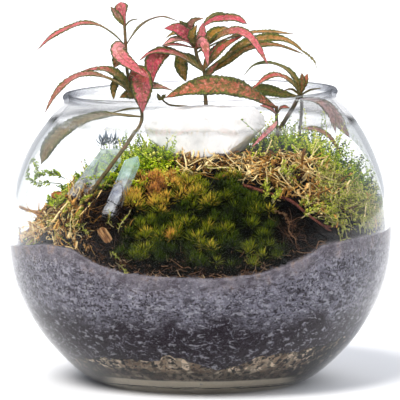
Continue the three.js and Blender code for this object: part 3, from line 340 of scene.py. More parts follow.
# The curly shoots at the left, as places
CURLY_SHOOTS = [
    [(62, 184, -10), (50, 183, -10), (38, 183, -8), (29, 177, -6), (27, 168, -5), (32, 161, -6),
     (38, 166, -8), (37, 175, -9)],
    [(66, 179, -12), (59, 175.5, -12), (52, 173, -11), (42, 174, -10), (36, 178, -9)],
]

# Moss patches, as in the solids: crown is the mat's height and cell the distance of its tufts. The counts,
# tones and spans along X are those of the finer strands.
CUSHION_MOSS = dict(
    outline=[FRONT_LEFT, CENTRE_LEFT, FOOT_LEFT, FOOT_RIGHT, SLOPE_RIGHT, FRONT_RIGHT, (3, -99)],
    crown=4, cell=4.4, tuft=5.5, seed=11,
)
DRIED = dict(cell=7, tuft=4, reach=(9, 14), spread=1.8, radius=(0.6, 0.8), bend=0.9)
DRIED_MOSSES = dict(
    dried_moss_left=dict(
        DRIED, outline=[WALL_LEFT, LEFT_INNER, CENTRE_LEFT, FRONT_LEFT, (-62, -84), (-92, -48)],
        crown=4, strands=9, seed=23, count=950, dark=0.75, dark_span=(-68, -48), green_span=(200, 201),
        sprigs=LEFT_SPRIGS,
    ),
    dried_moss_right=dict(
        DRIED, outline=[FOOT_LEFT, FOOT_RIGHT, SLOPE_RIGHT, (62, -70), (92, -40), WALL_FRONT_RIGHT,
                        RIGHT_OUTER, RIGHT_INNER, QUARTZ_FRONT],
        crown=5, strands=12, seed=31, count=1350, dark=0, dark_span=(0, 1), green_span=(56, 68),
        sprigs=RIGHT_SPRIGS,
    ),
)
FEATHERY = dict(spread=0.8, radius=(0.7, 0.9), bend=0.5)
FEATHER_MOSSES = dict(
    feather_moss_right=dict(
        FEATHERY, outline=[RIGHT_INNER, RIGHT_OUTER, WALL_FRONT_RIGHT, WALL_RIGHT, WALL_BACK_RIGHT,
                           BACK_RIGHT, STEM_RIGHT, QUARTZ_RIGHT],
        crown=9, cell=7, tuft=8, strands=17, reach=(10, 16), seed=43, count=760, warm=0.12,
    ),
    feather_moss_left=dict(
        FEATHERY, outline=[WALL_LEFT, LEFT_INNER, CENTRE_BACK, BACK_LEFT, WALL_BACK, (-98, 12)],
        low=True, crown=5, cell=7.5, tuft=5, strands=11, reach=(13, 19), seed=53, count=520, warm=0,
        shoots=CURLY_SHOOTS,
    ),
    feather_moss_centre=dict(
        FEATHERY, outline=[LEFT_INNER, CENTRE_LEFT, FOOT_LEFT, QUARTZ_FRONT, QUARTZ_LEFT, BACK_CENTRE,
                           BACK_LEFT, CENTRE_BACK],
        low=True, crown=6, cell=7, tuft=6, strands=12, reach=(12, 18), seed=61, count=480, warm=0,
    ),
    feather_moss_back=dict(
        FEATHERY, outline=[BACK_CENTRE, QUARTZ_LEFT, QUARTZ_BACK, QUARTZ_RIGHT, STEM_RIGHT, BACK_RIGHT,
                           WALL_BACK_RIGHT, (50, 86), (0, 99), (-50, 86), WALL_BACK, BACK_LEFT],
        low=True, crown=6, cell=9.5, tuft=6, strands=10, reach=(12, 18), seed=71, count=640, warm=0,
        spread=0.9,
    ),
)

# Fronds: number of leaflets, their length and width, and how steeply they stand
FEATHER_SHOOT = (17, 2.3, 1.5, 0.7)
FEATHER_MAIN = (44, 2.4, 0.7, 0.8)
CURLY_FROND = (90, 2.9, 1.5, 0.6)
GREEN_SHOOT = (20, 1.7, 1.0, 1.0)
GREEN_SPRIG = (24, 2.3, 1.3, 0.8)
STRAY_SHOOT = (18, 2.0, 0.9, 0.8)
DRIED_MAIN = (30, 1.8, 0.6, 0.8)
DRIED_FROND = (13, 1.8, 0.6, 0.8)
ROOT_FROND = (26, 1.6, 0.6, 0.4)

# A small tuft above the wide crystal, blue-grey as painted shade behind the crystal, as places
SHADED_BLUE_TUFT = [(100, 152, 18), (104, 150, 16), (109, 151, 20), (114, 150, 17), (119, 152, 18)]

# Bare slopes, seen from above, each with the number and paleness of its fine roots
BARE_SLOPES = [
    ([(42, -93), (36, -62), (62, -72), (94, -38), (84, -56), (64, -78)], 300, -0.12),
    ([(-50, -88), (-36, -80), (-20, -84), (4, -88), (30, -82), (44, -86), (40, -97), (0, -100), (-42, -97)],
     520, 0.12),
    ([(-66, -72), (-60, -40), (-40, -44), (-36, -70), (-38, -92)], 620, 0.15),
]

# Pale roots on the bare slopes, as places in the picture
PALE_ROOTS = [
    [(280, 214), (286, 222), (285, 231), (293, 238)], [(268, 205), (276, 212), (284, 214)],
    [(144, 264), (160, 266), (178, 265), (195, 267)],
]

# Stones, as places of their corners
WHITE_QUARTZ = [
    (143, 126, -10), (149, 140, -17), (155, 144, -20), (184, 159, -24), (204, 158, -25), (227, 154, -24),
    (236, 147, -22), (253, 135, -16), (266, 126, -8), (264, 116, -6), (254, 107, -9), (205, 105, -13),
    (156, 109, -9), (166, 118, -21), (205, 116, -22), (240, 117, -19),
    (147, 130, 2), (160, 112, 7), (180, 108, 8), (250, 109, 7), (262, 122, 4), (184, 172, -8),
    (226, 170, -8), (180, 160, 8), (230, 158, 8),
]
SLIM_CRYSTAL = dict(foot=(112, 218, -61), top=(138, 156, -42), radius=4.6, tip=5, turn=12)
WIDE_CRYSTAL = dict(foot=(80, 202, -37), top=(121, 147, -22), radius=6.6, tip=7, turn=30)

# The part of the picture where the quartz is in sight: left, right and lowest row
QUARTZ_CLEAR = (150, 258, 149)

# Twigs and chips, as places on the mound, with the height of their middle line above the soil
RED_TWIG = dict(line=[(242, 186), (264, 193), (288, 201.5), (303, 214), (318, 225), (332, 235)], lift=6,
                radius=0.9, end=0.6)
RED_TWIG_BRANCH = dict(line=[(318, 225), (329, 226), (338, 223)], lift=6, radius=0.6, end=0.5)
LEFT_TWIG = dict(line=[(58, 217, -30), (45, 213, -27), (34, 211, -22), (22, 207, -14)], lift=0, radius=0.9,
                 end=0.7)
LIGHT_CHIP = dict(centre=(109.5, 235), lift=5, length=10, width=5, thick=1.6, turn=-55)
ORANGE_CHIP = dict(centre=(60.5, 195), lift=6, length=10, width=4, thick=1.6, turn=5)
TWIG_SPACE = 2.2


# Places and heights
def place(spots):
    """Places in the picture, each with its depth, as points."""
    column, row, depth = np.asarray(spots, float).T
    rise = (BASE_ROW - row) * MM_PER_PIXEL
    height = (rise - depth * math.sin(VIEW_ANGLE)) / math.cos(VIEW_ANGLE)
    return np.column_stack([(column - CENTRE_COLUMN) * MM_PER_PIXEL, depth, height])


def seen_from_front(points):
    """Places on the picture's plane, in millimetres across and up."""
    return points[..., 0], points[..., 2] * math.cos(VIEW_ANGLE) + points[..., 1] * math.sin(VIEW_ANGLE)


def unit(vectors):
    vectors = np.asarray(vectors, float)
    return vectors / np.maximum(np.linalg.norm(vectors, axis=-1, keepdims=True), 1e-9)


def smoothstep(value, low, high):
    share = np.clip((value - low) / (high - low), 0, 1)
    return share * share * (3 - 2 * share)


def turns(steps):
    return np.arange(steps) * 2 * math.pi / steps


def around(rows, x, y):
    angles, values = np.asarray(rows, float).T
    return np.interp(np.degrees(np.arctan2(y, x)) % 360, angles, values)


def gravel_top(x, y):
    share = np.minimum(1, np.hypot(x, y) / GRAVEL_RADIUS)
    return GRAVEL_MIDDLE + (around(GRAVEL_EDGE, x, y) - GRAVEL_MIDDLE) * share**2


def soil_top(x, y):
    edge = around(SOIL_EDGE, x, y)
    inward = np.clip((SOIL_RADIUS - np.hypot(x, y)) / (SOIL_RADIUS - MOUND_RADIUS), 0, 1)
    top = MOUND_TOP + MOUND_RIGHT_RISE * smoothstep(x, RISE_FROM, RISE_TO)
    shelf = smoothstep(x, SHELF_FROM, SHELF_TO)
    return edge + (top - edge) * (1 - (1 - inward) ** MOUND_CURVE) * shelf


def soil_normal(x, y):
    slope_x = (soil_top(x + 1, y) - soil_top(x - 1, y)) / 2
    slope_y = (soil_top(x, y + 1) - soil_top(x, y - 1)) / 2
    return unit(np.stack([-slope_x, -slope_y, np.ones_like(slope_x)], axis=-1))


def on_soil(x, y, lift):
    """Points at a lift above the soil, and the way away from the soil at each."""
    normal = soil_normal(x, y)
    return np.column_stack([x, y, soil_top(x, y)]) + normal * lift, normal


def on_mound(spot, lift):
    """Where the line of sight through a place in the picture first meets the mound raised by a lift."""
    depths = np.arange(-SOIL_RADIUS, SOIL_RADIUS, SIGHT_STEP)
    points = place([(*spot, depth) for depth in depths])
    within = np.hypot(points[:, 0], points[:, 1]) < SOIL_RADIUS - SIGHT_MARGIN
    return points[np.argmax(within & (points[:, 2] <= soil_top(points[:, 0], points[:, 1]) + lift))]


def inner_outline():
    """The inside of the glass, set in from the outline along its own slope."""
    wall = []
    for i in range(1, len(BOWL_OUTLINE)):
        before = BOWL_OUTLINE[i - 1]
        after = (BOWL_OUTLINE + LIP_OUTLINE)[i + 1]
        radius, height = BOWL_OUTLINE[i]
        along = unit([after[0] - before[0], after[1] - before[1]])
        thick = WALL + BASE_EXTRA * np.clip(1 - height / THICKER_BELOW, 0, 1)
        wall.append((radius - along[1] * thick, height + along[0] * thick))
    return [(wall[0][0] - FLOOR_CURVE, BASE_GLASS)] + wall


def smooth_profile(rows):
    line = smooth_line([(radius, 0, height) for radius, height in rows], PROFILE_STEPS)
    return np.column_stack([np.minimum(line[:, 0], BOWL_RADIUS), line[:, 2]])


@functools.cache
def inner_curve():
    """Radii and heights of the inside of the glass, from the bottom up."""
    curve = smooth_profile(inner_outline()[::-1])
    return curve[np.argsort(curve[:, 1])].T


def wall_radius(height):
    radii, heights = inner_curve()
    return np.interp(height, heights, radii)


def kept_inside(points, gap=MOSS_WALL_GAP):
    """The same points, with those past the glass brought back along their radius."""
    reach = np.hypot(points[:, 0], points[:, 1])
    limit = wall_radius(points[:, 2]) - gap
    points[:, :2] *= np.minimum(1, limit / np.maximum(reach, 1e-6))[:, None]
    return points


def rough(points, size, seed=0):
    """Smooth noise from about -1 to 1 at each point, with features of a size."""
    offset = Vector((seed * 17.3, seed * 5.1, seed * 9.7))
    return np.array([noise.noise(Vector(point) / size + offset) for point in points])


def rough_plan(x, y, size, seed):
    """The same noise at places seen from above."""
    return rough(np.column_stack([x, y, np.zeros_like(x)]), size, seed)


# Lines
def smooth_line(points, steps=24):
    """Many points on the curve that the solids follow through the given ones."""
    points = np.asarray(points, float)
    knots = np.vstack([2 * points[0] - points[1], points, 2 * points[-1] - points[-2]])
    share = np.linspace(0, 1, steps, endpoint=False)[:, None]
    stretches = []
    for a, b, c, d in zip(knots, knots[1:], knots[2:], knots[3:]):
        first, second, third = (np.linalg.norm(q - p) ** 0.5 for p, q in ((a, b), (b, c), (c, d)))
        leave = ((b - a) / first - (c - a) / (first + second) + (c - b) / second) * second
        arrive = ((c - b) / second - (d - b) / (second + third) + (d - c) / third) * second
        square = 3 * (c - b) - 2 * leave - arrive
        cube = 2 * (b - c) + leave + arrive
        stretches.append(b + leave * share + square * share**2 + cube * share**3)
    return np.vstack([*stretches, points[-1:]])


def line_length(points):
    return np.linalg.norm(np.diff(points, axis=0), axis=1).sum()


def frames_along(points, count, normal, twist=0, facing=False):
    """Even points on the smooth line, with the face's normal and the side at each, and the line's length."""
    dense = smooth_line(points)
    gone = np.concatenate([[0], np.cumsum(np.linalg.norm(np.diff(dense, axis=0), axis=1))])
    shares = np.linspace(0, 1, count)
    spine = np.column_stack([np.interp(shares * gone[-1], gone, dense[:, k]) for k in range(3)])
    ahead = unit(np.gradient(spine, axis=0))
    up = np.array(normal, float)
    ups = []
    for way, share in zip(ahead, shares):
        up = np.array(normal, float) if facing else up
        up = unit(up - way * up.dot(way))
        angle = math.radians(twist * share)
        ups.append(up * math.cos(angle) + np.cross(way, up) * math.sin(angle))
    return shares, spine, np.array(ups), np.cross(ahead, ups), gone[-1]


def across_ways(ahead):
    """Two ways at right angles to each way ahead and to each other."""
    side = unit(np.cross(ahead, ASKEW))
    return side, np.cross(side, ahead)


# Meshes
def facing_out(points, faces):
    """The triangles of closed skins, turned so that they face outwards."""
    faces = np.asarray(faces, int).reshape(-1, 3)
    a, b, c = (points[faces[:, k]] for k in range(3))
    return faces if np.sum(np.cross(a, b) * c) > 0 else faces[:, ::-1]


class Heap:
    """Points, triangles and values at the points, collected before they become one mesh."""

    def __init__(self):
        self.points, self.faces, self.values, self.count = [], [], {}, 0

    def add(self, points, faces, **values):
        points = np.asarray(points, float).reshape(-1, 3)
        self.points.append(points)
        self.faces.append(facing_out(points, faces) + self.count)
        for name, value in values.items():
            value = np.asarray(value, float)
            wide = (len(points), 4) if name == "inner" else (len(points),)
            self.values.setdefault(name, []).append(np.broadcast_to(value, wide))
        self.count += len(points)

    def mesh(self, name, material):
        values = {key: np.concatenate(value) for key, value in self.values.items()}
        return make_mesh(name, np.vstack(self.points), np.vstack(self.faces), material, values)


def standing(name, mesh, material):
    """The object that shows a mesh in its material."""
    mesh.polygons.foreach_set("use_smooth", np.full(len(mesh.polygons), True))
    mesh.materials.append(material)
    piece = bpy.data.objects.new(name, mesh)
    bpy.context.scene.collection.objects.link(piece)
    return piece


def make_mesh(name, points, faces, material, values=None):
    mesh = bpy.data.meshes.new(name)
    mesh.vertices.add(len(points))
    mesh.vertices.foreach_set("co", (points * MM).astype(np.float32).ravel())
    mesh.loops.add(faces.size)
    mesh.loops.foreach_set("vertex_index", faces.astype(np.int32).ravel())
    mesh.polygons.add(len(faces))
    mesh.polygons.foreach_set("loop_start", np.arange(0, faces.size, 3, dtype=np.int32))
    for key, value in (values or {}).items():
        kind, field = ("FLOAT_COLOR", "color") if value.ndim == 2 else ("FLOAT", "value")
        layer = mesh.attributes.new(key, kind, "POINT")
        layer.data.foreach_set(field, value.astype(np.float32).ravel())
    mesh.update(calc_edges=True)
    mesh.validate()
    return standing(name, mesh, material)


def ring_faces(rings, steps):
    """Triangles between rings of equal size, one after the other."""
    ring, step = np.meshgrid(np.arange(rings - 1), np.arange(steps), indexing="ij")
    a = (ring * steps + step).ravel()
    b = (ring * steps + (step + 1) % steps).ravel()
    return np.vstack([np.column_stack([a, b, b + steps]), np.column_stack([a, b + steps, a + steps])])


def loft(rings):
    """A closed skin over rings of points, with a point at each end."""
    count, steps = len(rings), len(rings[0])
    points = np.vstack([rings.reshape(-1, 3), rings[0].mean(axis=0), rings[-1].mean(axis=0)])
    start, end = count * steps, count * steps + 1
    here = np.arange(steps)
    there = (here + 1) % steps
    tail = (count - 1) * steps
    caps = [
        np.column_stack([np.full(steps, start), there, here]),
        np.column_stack([np.full(steps, end), tail + here, tail + there]),
    ]
    return points, np.vstack([ring_faces(count, steps), *caps])


def dressed(piece, node, slot):
    """The piece stands for a solid, which it hides, and hangs from the root body; the slot is not used."""
    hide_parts(node)
    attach(piece, "root")


# Materials
def light(colour):
    """Three numbers are a colour as the eye names it; anything else stays as it is."""
    return srgb(*colour) if isinstance(colour, tuple) and len(colour) == 3 else colour


class Value:
    """An output of a node, for sums, products and further nodes."""

    def __init__(self, look, socket):
        self.look, self.socket = look, socket

    def __add__(self, other):
        return self.look.maths("ADD", self, other)

    def __sub__(self, other):
        return self.look.maths("SUBTRACT", self, other)

    def __rsub__(self, other):
        return self.look.maths("SUBTRACT", other, self)

    def __mul__(self, other):
        return self.look.maths("MULTIPLY", self, other)

    def __abs__(self):
        return self.look.maths("ABSOLUTE", self)

    def mapped(self, low, high, to_low=0.0, to_high=1.0):
        """A number that runs smoothly from one to another between two limits of the value."""
        node = self.look.add("ShaderNodeMapRange", {"interpolation_type": "SMOOTHSTEP"})
        for socket, given in zip(node.inputs, (self, low, high, to_low, to_high)):
            self.look.connect(given, socket)
        return Value(self.look, node.outputs[0])

    def ramp(self, *stops):
        """A colour for each value, from stops of position and colour."""
        node = self.look.add("ShaderNodeValToRGB", Fac=self)
        elements = node.color_ramp.elements
        while len(elements) < len(stops):
            elements.new(0.5)
        for element, (position, colour) in zip(elements, stops):
            element.position = position
            element.color = light(colour)
        return Value(self.look, node.outputs["Color"])


class Look:
    """The nodes of a material or of the world, with a colour that is painted layer by layer."""

    def __init__(self, owner):
        owner.use_nodes = True
        self.owner, self.tree, self.colour = owner, owner.node_tree, None

    def connect(self, value, socket):
        if isinstance(value, Value):
            self.tree.links.new(value.socket, socket)
        else:
            socket.default_value = value

    def add(self, kind, settings=None, **inputs):
        node = self.tree.nodes.new(kind)
        for key, value in (settings or {}).items():
            setattr(node, key, value)
        for key, value in inputs.items():
            self.connect(value, node.inputs[key.replace("_", " ")])
        return node

    def output(self, name, kind, settings=None, **inputs):
        return Value(self, self.add(kind, settings, **inputs).outputs[name])

    def maths(self, operation, first, second=0.0):
        node = self.add("ShaderNodeMath", {"operation": operation})
        self.connect(first, node.inputs[0])
        self.connect(second, node.inputs[1])
        return Value(self, node.outputs[0])

    def blend(self, share, first, second, how="MIX"):
        node = self.add("ShaderNodeMix", {"data_type": "RGBA", "blend_type": how})
        for index, given in ((0, share), (6, first), (7, second)):
            self.connect(light(given), node.inputs[index])
        return Value(self, node.outputs[2])

    def paint(self, share, colour):
        """Covers the colour so far with another one, by a share."""
        self.colour = self.blend(share, self.colour, colour)

    def place(self, kind="Object"):
        return self.output(kind, "ShaderNodeTexCoord")

    def axis(self, name, kind="Object"):
        return self.output(name, "ShaderNodeSeparateXYZ", Vector=self.place(kind))

    def height(self, low, high):
        """0 at one height of the part and 1 at another, in metres."""
        return self.axis("Z").mapped(low, high)

    def attribute(self, name, output="Fac"):
        return self.output(output, "ShaderNodeAttribute", {"attribute_name": name})

    def spots(self, scale, detail=3, roughness=0.6, where=None):
        """Noise from 0 to 1; a scale of 1000 gives features of a millimetre."""
        return self.output("Fac", "ShaderNodeTexNoise", Vector=where or self.place(), Scale=scale,
                           Detail=detail, Roughness=roughness)

    def cells(self, scale, output="Distance", feature="F1"):
        return self.output(output, "ShaderNodeTexVoronoi", {"feature": feature}, Vector=self.place(),
                           Scale=scale)

    def threads(self, scale, width, detail=3):
        """Thin wandering threads, 1 on the thread and 0 away from it."""
        return abs(self.spots(scale, detail, 0.55) - 0.5).mapped(0.0, width, 1.0, 0.0)

    def on_path(self, kind):
        return self.output(kind, "ShaderNodeLightPath")

    def mix_shaders(self, share, first, second):
        mix = self.add("ShaderNodeMixShader", Fac=share)
        self.tree.links.new(first.outputs[0], mix.inputs[1])
        self.tree.links.new(second.outputs[0], mix.inputs[2])
        return mix

    def shade(self, bump=None, **inputs):
        """The main shader with the painted colour, a bump (height, strength, distance) and other inputs."""
        shader = self.tree.nodes["Principled BSDF"]
        if self.colour:
            inputs["Base_Color"] = self.colour
        if bump:
            height, strength, distance = bump
            inputs["Normal"] = self.output("Normal", "ShaderNodeBump", Height=height, Strength=strength,
                                           Distance=distance)
        for key, value in inputs.items():
            self.connect(value, shader.inputs[key.replace("_", " ")])
        return shader

    def finish(self, **inputs):
        self.shade(**inputs)
        return self.owner

    def let_lamps_through(self, shader, clearness):
        """Shadow rays pass, so that what stands behind the glass is lit."""
        clear = self.add("ShaderNodeBsdfTransparent", Color=(clearness, clearness, clearness, 1))
        mix = self.mix_shaders(self.on_path("Is Shadow Ray"), shader, clear)
        self.tree.links.new(mix.outputs[0], self.tree.nodes["Material Output"].inputs["Surface"])
        return self.owner


def new_look(name):
    return Look(bpy.data.materials.new(name))


def outlined_clear(look):
    """Clear glass of the thin lip, with painted grey shade along its outlines in place of the dark lines
    that refraction draws there.
    """
    slope = look.output("Facing", "ShaderNodeLayerWeight", Blend=0.5)
    # Painted shade: the see-through colour turns grey where the lip is seen edge on.
    painted_neck_outline_shade = slope.ramp((0.80, (1, 1, 1, 1)), (0.93, (0.96, 0.96, 0.97, 1)),
                           (0.98, (0.66, 0.67, 0.70, 1)), (1.0, (0.34, 0.35, 0.38, 1)))
    painted_bead_outline_shade = slope.ramp((0.25, (1, 1, 1, 1)), (0.55, (0.74, 0.75, 0.77, 1)),
                           (0.8, (0.36, 0.37, 0.40, 1)), (1.0, (0.16, 0.17, 0.19, 1)))
    level = look.axis("Z") - look.axis("X") * MOUTH_TILT
    line = look.blend(level.mapped(*BEAD_HEIGHTS), painted_neck_outline_shade, painted_bead_outline_shade)
    clear = look.add("ShaderNodeBsdfTransparent", Color=line)
    shine = look.add("ShaderNodeBsdfGlossy", Roughness=0.02)
    return look.mix_shaders(look.output("Fac", "ShaderNodeFresnel", IOR=1.3) * 0.4, clear, shine)


def glass_material():
    look = new_look("clear_glass")
    seen_from_inside = look.output("Backfacing", "ShaderNodeNewGeometry")
    shiny = look.maths("MAXIMUM", look.height(*NECK_HEIGHTS), look.height(*BASE_HEIGHTS) * seen_from_inside)
    shader = look.shade(
        bump=(look.spots(14, 1, 0.4), 0.04, 0.002),
        Base_Color=srgb(0.985, 0.99, 0.99),
        Transmission_Weight=1,
        IOR=1.45,
        Specular_Tint=look.blend(shiny, (0.07, 0.075, 0.085, 1), (1, 1, 1, 1)),
        Roughness=look.spots(28, 4, 0.55).mapped(0.5, 0.75, 0.0, 0.05),
    )
    lipped = look.mix_shaders(look.height(*LIP_HEIGHTS), shader, outlined_clear(look))
    return look.let_lamps_through(lipped, clearness=0.94)


def crystal_material(name, span, clear, bend, *tints):
    """Mineral with tints from its foot to its point and milky veils."""
    look = new_look(name)
    cloud = look.spots(130, 6, 0.62)
    look.colour = look.height(*span).ramp(*tints)
    look.paint(cloud.mapped(0.45, 0.65, 0, 0.5), (0.93, 0.94, 0.95))
    shader = look.shade(
        bump=(look.spots(300, 3, 0.6), 0.15, 0.0005),
        Transmission_Weight=cloud.mapped(0.45, 0.66, clear, clear * 0.6),
        IOR=bend,
        Roughness=look.spots(420, 3).mapped(0.35, 0.7, 0.02, 0.12),
    )
    return look.let_lamps_through(shader, clearness=0.8)


def quartz_material():
    look = new_look("milky_quartz")
    cloud = look.spots(55, 7, 0.62)
    fine = look.spots(320, 5, 0.7)
    look.colour = cloud.ramp((0.30, (0.78, 0.775, 0.77)), (0.42, (0.89, 0.885, 0.88)),
                             (0.56, (0.95, 0.94, 0.935)), (0.70, (0.83, 0.82, 0.81)))
    look.paint(fine.mapped(0.58, 0.78, 0, 0.22), (0.80, 0.79, 0.77))
    return look.finish(
        bump=(look.blend(0.5, fine, look.cells(260)), 0.2, 0.0008),
        Roughness=cloud.mapped(0.4, 0.6, 0.12, 0.45),
        IOR=1.54,
        Subsurface_Weight=0.4,
        Subsurface_Radius=(0.006, 0.0055, 0.005),
        Subsurface_Scale=1,
    )


def soil_material():
    """Damp soil against the glass: pale blue-grey with dark specks above, its paleness partly a painted
    reflection haze of the glass; dark with pale threads below; a near black top of dark peat and painted
    shade.
    """
    look = new_look("potting_soil")
    grain = look.spots(620, 5, 0.75)
    clumps = look.spots(170, 4, 0.6)
    wide = look.spots(48, 4, 0.6)

    # Above: pale blue-grey soil, its paleness partly a painted reflection haze of the glass.
    look.colour = clumps.ramp((0.35, (0.46, 0.45, 0.49)), (0.55, (0.58, 0.57, 0.62)),
                              (0.72, (0.74, 0.73, 0.77)))
    look.paint(grain.mapped(0.42, 0.62, 0.35, 0), (0.34, 0.32, 0.37))
    specks = look.spots(760, 4, 0.65).mapped(0.53, 0.58) * wide.mapped(0.34, 0.50, 0.45, 1.0)
    look.paint(specks, (0.19, 0.17, 0.19))
    look.paint(look.threads(330, 0.016) * 0.6, (0.20, 0.18, 0.20))
    look.paint(look.spots(880, 3, 0.6).mapped(0.60, 0.66, 0, 0.6), (0.84, 0.83, 0.84))
    pale_soil_and_painted_reflection = look.colour

    look.colour = grain.ramp((0.36, (0.17, 0.14, 0.16)), (0.66, (0.27, 0.24, 0.27)))
    broken = look.spots(330, 2, 0.5).mapped(0.44, 0.56)
    look.paint(look.threads(190, 0.022, 4) * broken * 0.85, (0.66, 0.65, 0.70))
    look.paint(look.spots(760, 2, 0.5).mapped(0.66, 0.70, 0, 0.8), (0.66, 0.65, 0.69))

    level = look.height(0.026, 0.062) + wide * 1.5
    look.paint(level.mapped(0.95, 1.45), pale_soil_and_painted_reflection)
    flow = look.output(0, "ShaderNodeMapping", Vector=look.place(), Scale=(0.45, 0.45, 1.0))
    look.paint(look.spots(420, 4, 0.6, flow).mapped(0.54, 0.60, 0, 0.65), (0.18, 0.16, 0.17))
    look.paint(look.spots(480, 4, 0.65, flow).mapped(0.58, 0.63, 0, 0.6), (0.74, 0.73, 0.76))
    band = look.attribute("below").mapped(1.5, 11.0, 0.75, 0.0) * wide.mapped(0.3, 0.6, 0.4, 1)
    look.paint(band, clumps.ramp((0.4, (0.44, 0.41, 0.44)), (0.55, (0.54, 0.51, 0.53)),
                                 (0.68, (0.60, 0.50, 0.44))))
    # The top is near black: dark peat, darkened further as painted shade in the gaps between the mosses.
    look.paint(look.attribute("lid"), grain.ramp((0.42, (0.012, 0.010, 0.008)), (0.62, (0.05, 0.035, 0.025)),
                                                 (0.75, (0.22, 0.15, 0.10))))
    return look.finish(bump=(look.blend(0.5, grain, clumps), 0.8, 0.0015), Roughness=0.9,
                       Specular_IOR_Level=0.1)


def gravel_material():
    look = new_look("gravel")
    tone = look.output("Red", "ShaderNodeSeparateColor", Color=look.cells(300, "Color"))
    chips = tone.ramp((0.0, (0.20, 0.14, 0.10)), (0.3, (0.43, 0.34, 0.26)), (0.6, (0.63, 0.52, 0.42)),
                      (0.88, (0.95, 0.86, 0.75)))
    edge = look.cells(300, feature="DISTANCE_TO_EDGE")
    dust = look.spots(900, 4, 0.7)
    wide = look.spots(60, 3, 0.6)
    look.colour = dust.ramp((0.35, (0.36, 0.31, 0.25)), (0.6, (0.64, 0.58, 0.49)))
    look.paint(edge.mapped(0.03, 0.10), chips)
    look.paint(wide.mapped(0.45, 0.65, 0, 0.35), (0.78, 0.71, 0.62))
    look.paint(wide.mapped(0.52, 0.36, 0, 0.45), (0.33, 0.24, 0.17))
    off_middle = abs(look.axis("X"))
    dirt = look.spots(330, 4, 0.7) + off_middle.mapped(0.025, 0.07, 0.0, 0.12)
    look.paint(dirt.mapped(0.53, 0.57), (0.07, 0.05, 0.045))
    # A darker band low in the middle of the gravel, just above the cream band.
    low_dark_band = look.height(0.0175, 0.0135) * off_middle.mapped(0.064, 0.054)
    look.paint(low_dark_band * 0.75, (0.13, 0.10, 0.08))
    # Painted light: a cream band low in the middle stands in for the bright lens of the thick glass base.
    foot = look.height(0.0105, 0.0095) * off_middle.mapped(0.050, 0.040)
    look.paint(foot * 0.75, (0.90, 0.85, 0.76))
    return look.finish(bump=(look.blend(0.4, edge, dust), 0.8, 0.0012), Roughness=0.75)


def strand_material(name, root, *tones):
    """Strands and blades: one tone for each, darker towards the root, where the near black root colour is
    the moss's darker base and painted shade deep in the mat.
    """
    look = new_look(name)
    mottle = look.spots(700, 3, 0.6)
    shades = mottle.ramp((0.3, (0.3, 0.3, 0.3)), (0.7, (0.9, 0.9, 0.9)))
    own = look.blend(0.35, look.attribute("tone").ramp(*tones), shades, "OVERLAY")
    # Painted shade: the root colour darkens each strand towards its foot.
    look.colour = look.blend(look.attribute("along").mapped(0.0, 0.55), root, own)
    return look.finish(bump=(look.spots(1800, 2), 0.3, 0.0003), Specular_IOR_Level=0.2,
                       Roughness=mottle.mapped(0.3, 0.7, 0.45, 0.8))


def bark_material(name, dark, middle, pale, scale=900, turn=None):
    """Wood fibres, drawn out along a chip that is turned from level."""
    look = new_look(name)
    where = None
    if turn is not None:
        where = look.output(0, "ShaderNodeMapping", {"vector_type": "TEXTURE"}, Vector=look.place(),
                            Rotation=(0, -math.radians(turn), 0), Scale=(6, 1, 1))
    fibre = look.spots(scale, 5, 0.7, where)
    look.colour = fibre.ramp((0.35, dark), (0.5, middle), (0.64, pale))
    return look.finish(bump=(fibre, 0.6, 0.0008), Roughness=0.75)


def leaf_material():
    """Pink to olive inside, with branching veins, green blotches and a dark toothed margin."""
    look = new_look("variegated_leaf")
    inner = look.attribute("inner", "Color")
    across = look.attribute("across")
    vein = look.maths("PINGPONG", look.attribute("vein"), 0.5)
    blotch = look.spots(420, 5, 0.7)
    fine = look.spots(1100, 3, 0.6)
    green = fine.ramp((0.3, (0.09, 0.13, 0.05)), (0.5, (0.27, 0.31, 0.10)), (0.66, (0.46, 0.47, 0.17)))

    look.colour = inner
    look.paint(look.spots(110, 4, 0.6).mapped(0.35, 0.65),
               look.blend(0.35, inner, (0.98, 0.74, 0.70), "SOFT_LIGHT"))
    look.paint(look.spots(190, 5, 0.65).mapped(0.50, 0.64, 0, 0.6), (0.46, 0.37, 0.13))
    look.paint(fine.mapped(0.50, 0.62, 0, 0.75), look.blend(0.6, inner, (0.25, 0.12, 0.08), "MULTIPLY"))
    look.paint(look.spots(640, 4, 0.65).mapped(0.54, 0.64, 0, 0.6),
               look.blend(0.5, inner, (0.99, 0.80, 0.72)))
    look.paint(look.spots(900, 2, 0.5).mapped(0.62, 0.68, 0, 0.55), (0.42, 0.36, 0.16))

    wanted = 0.76 - look.attribute("blotch") * 0.30
    patchy = blotch + (0.5 - vein) * 0.12
    look.paint((patchy - wanted).mapped(-0.02, 0.05) * 0.85, green)
    look.paint(vein.mapped(0.0, 0.07, 0.35, 0.0), (0.30, 0.26, 0.12))
    margin = across + (blotch - 0.45) * 0.9 - look.attribute("share")
    look.paint(margin.mapped(-0.15, 0.02) * 0.94, green)
    look.paint(across.mapped(0.86, 0.97, 0, 0.75), (0.13, 0.12, 0.06))
    look.paint(across.mapped(0.03, 0.10, 0.6, 0.0), (0.50, 0.36, 0.20))
    look.paint(look.attribute("under") * 0.4, (0.56, 0.47, 0.24))
    return look.finish(bump=(look.blend(0.5, vein, blotch), 0.8, 0.0011), Specular_IOR_Level=0.45,
                       Sheen_Weight=0.15, Roughness=blotch.mapped(0.3, 0.7, 0.27, 0.5))


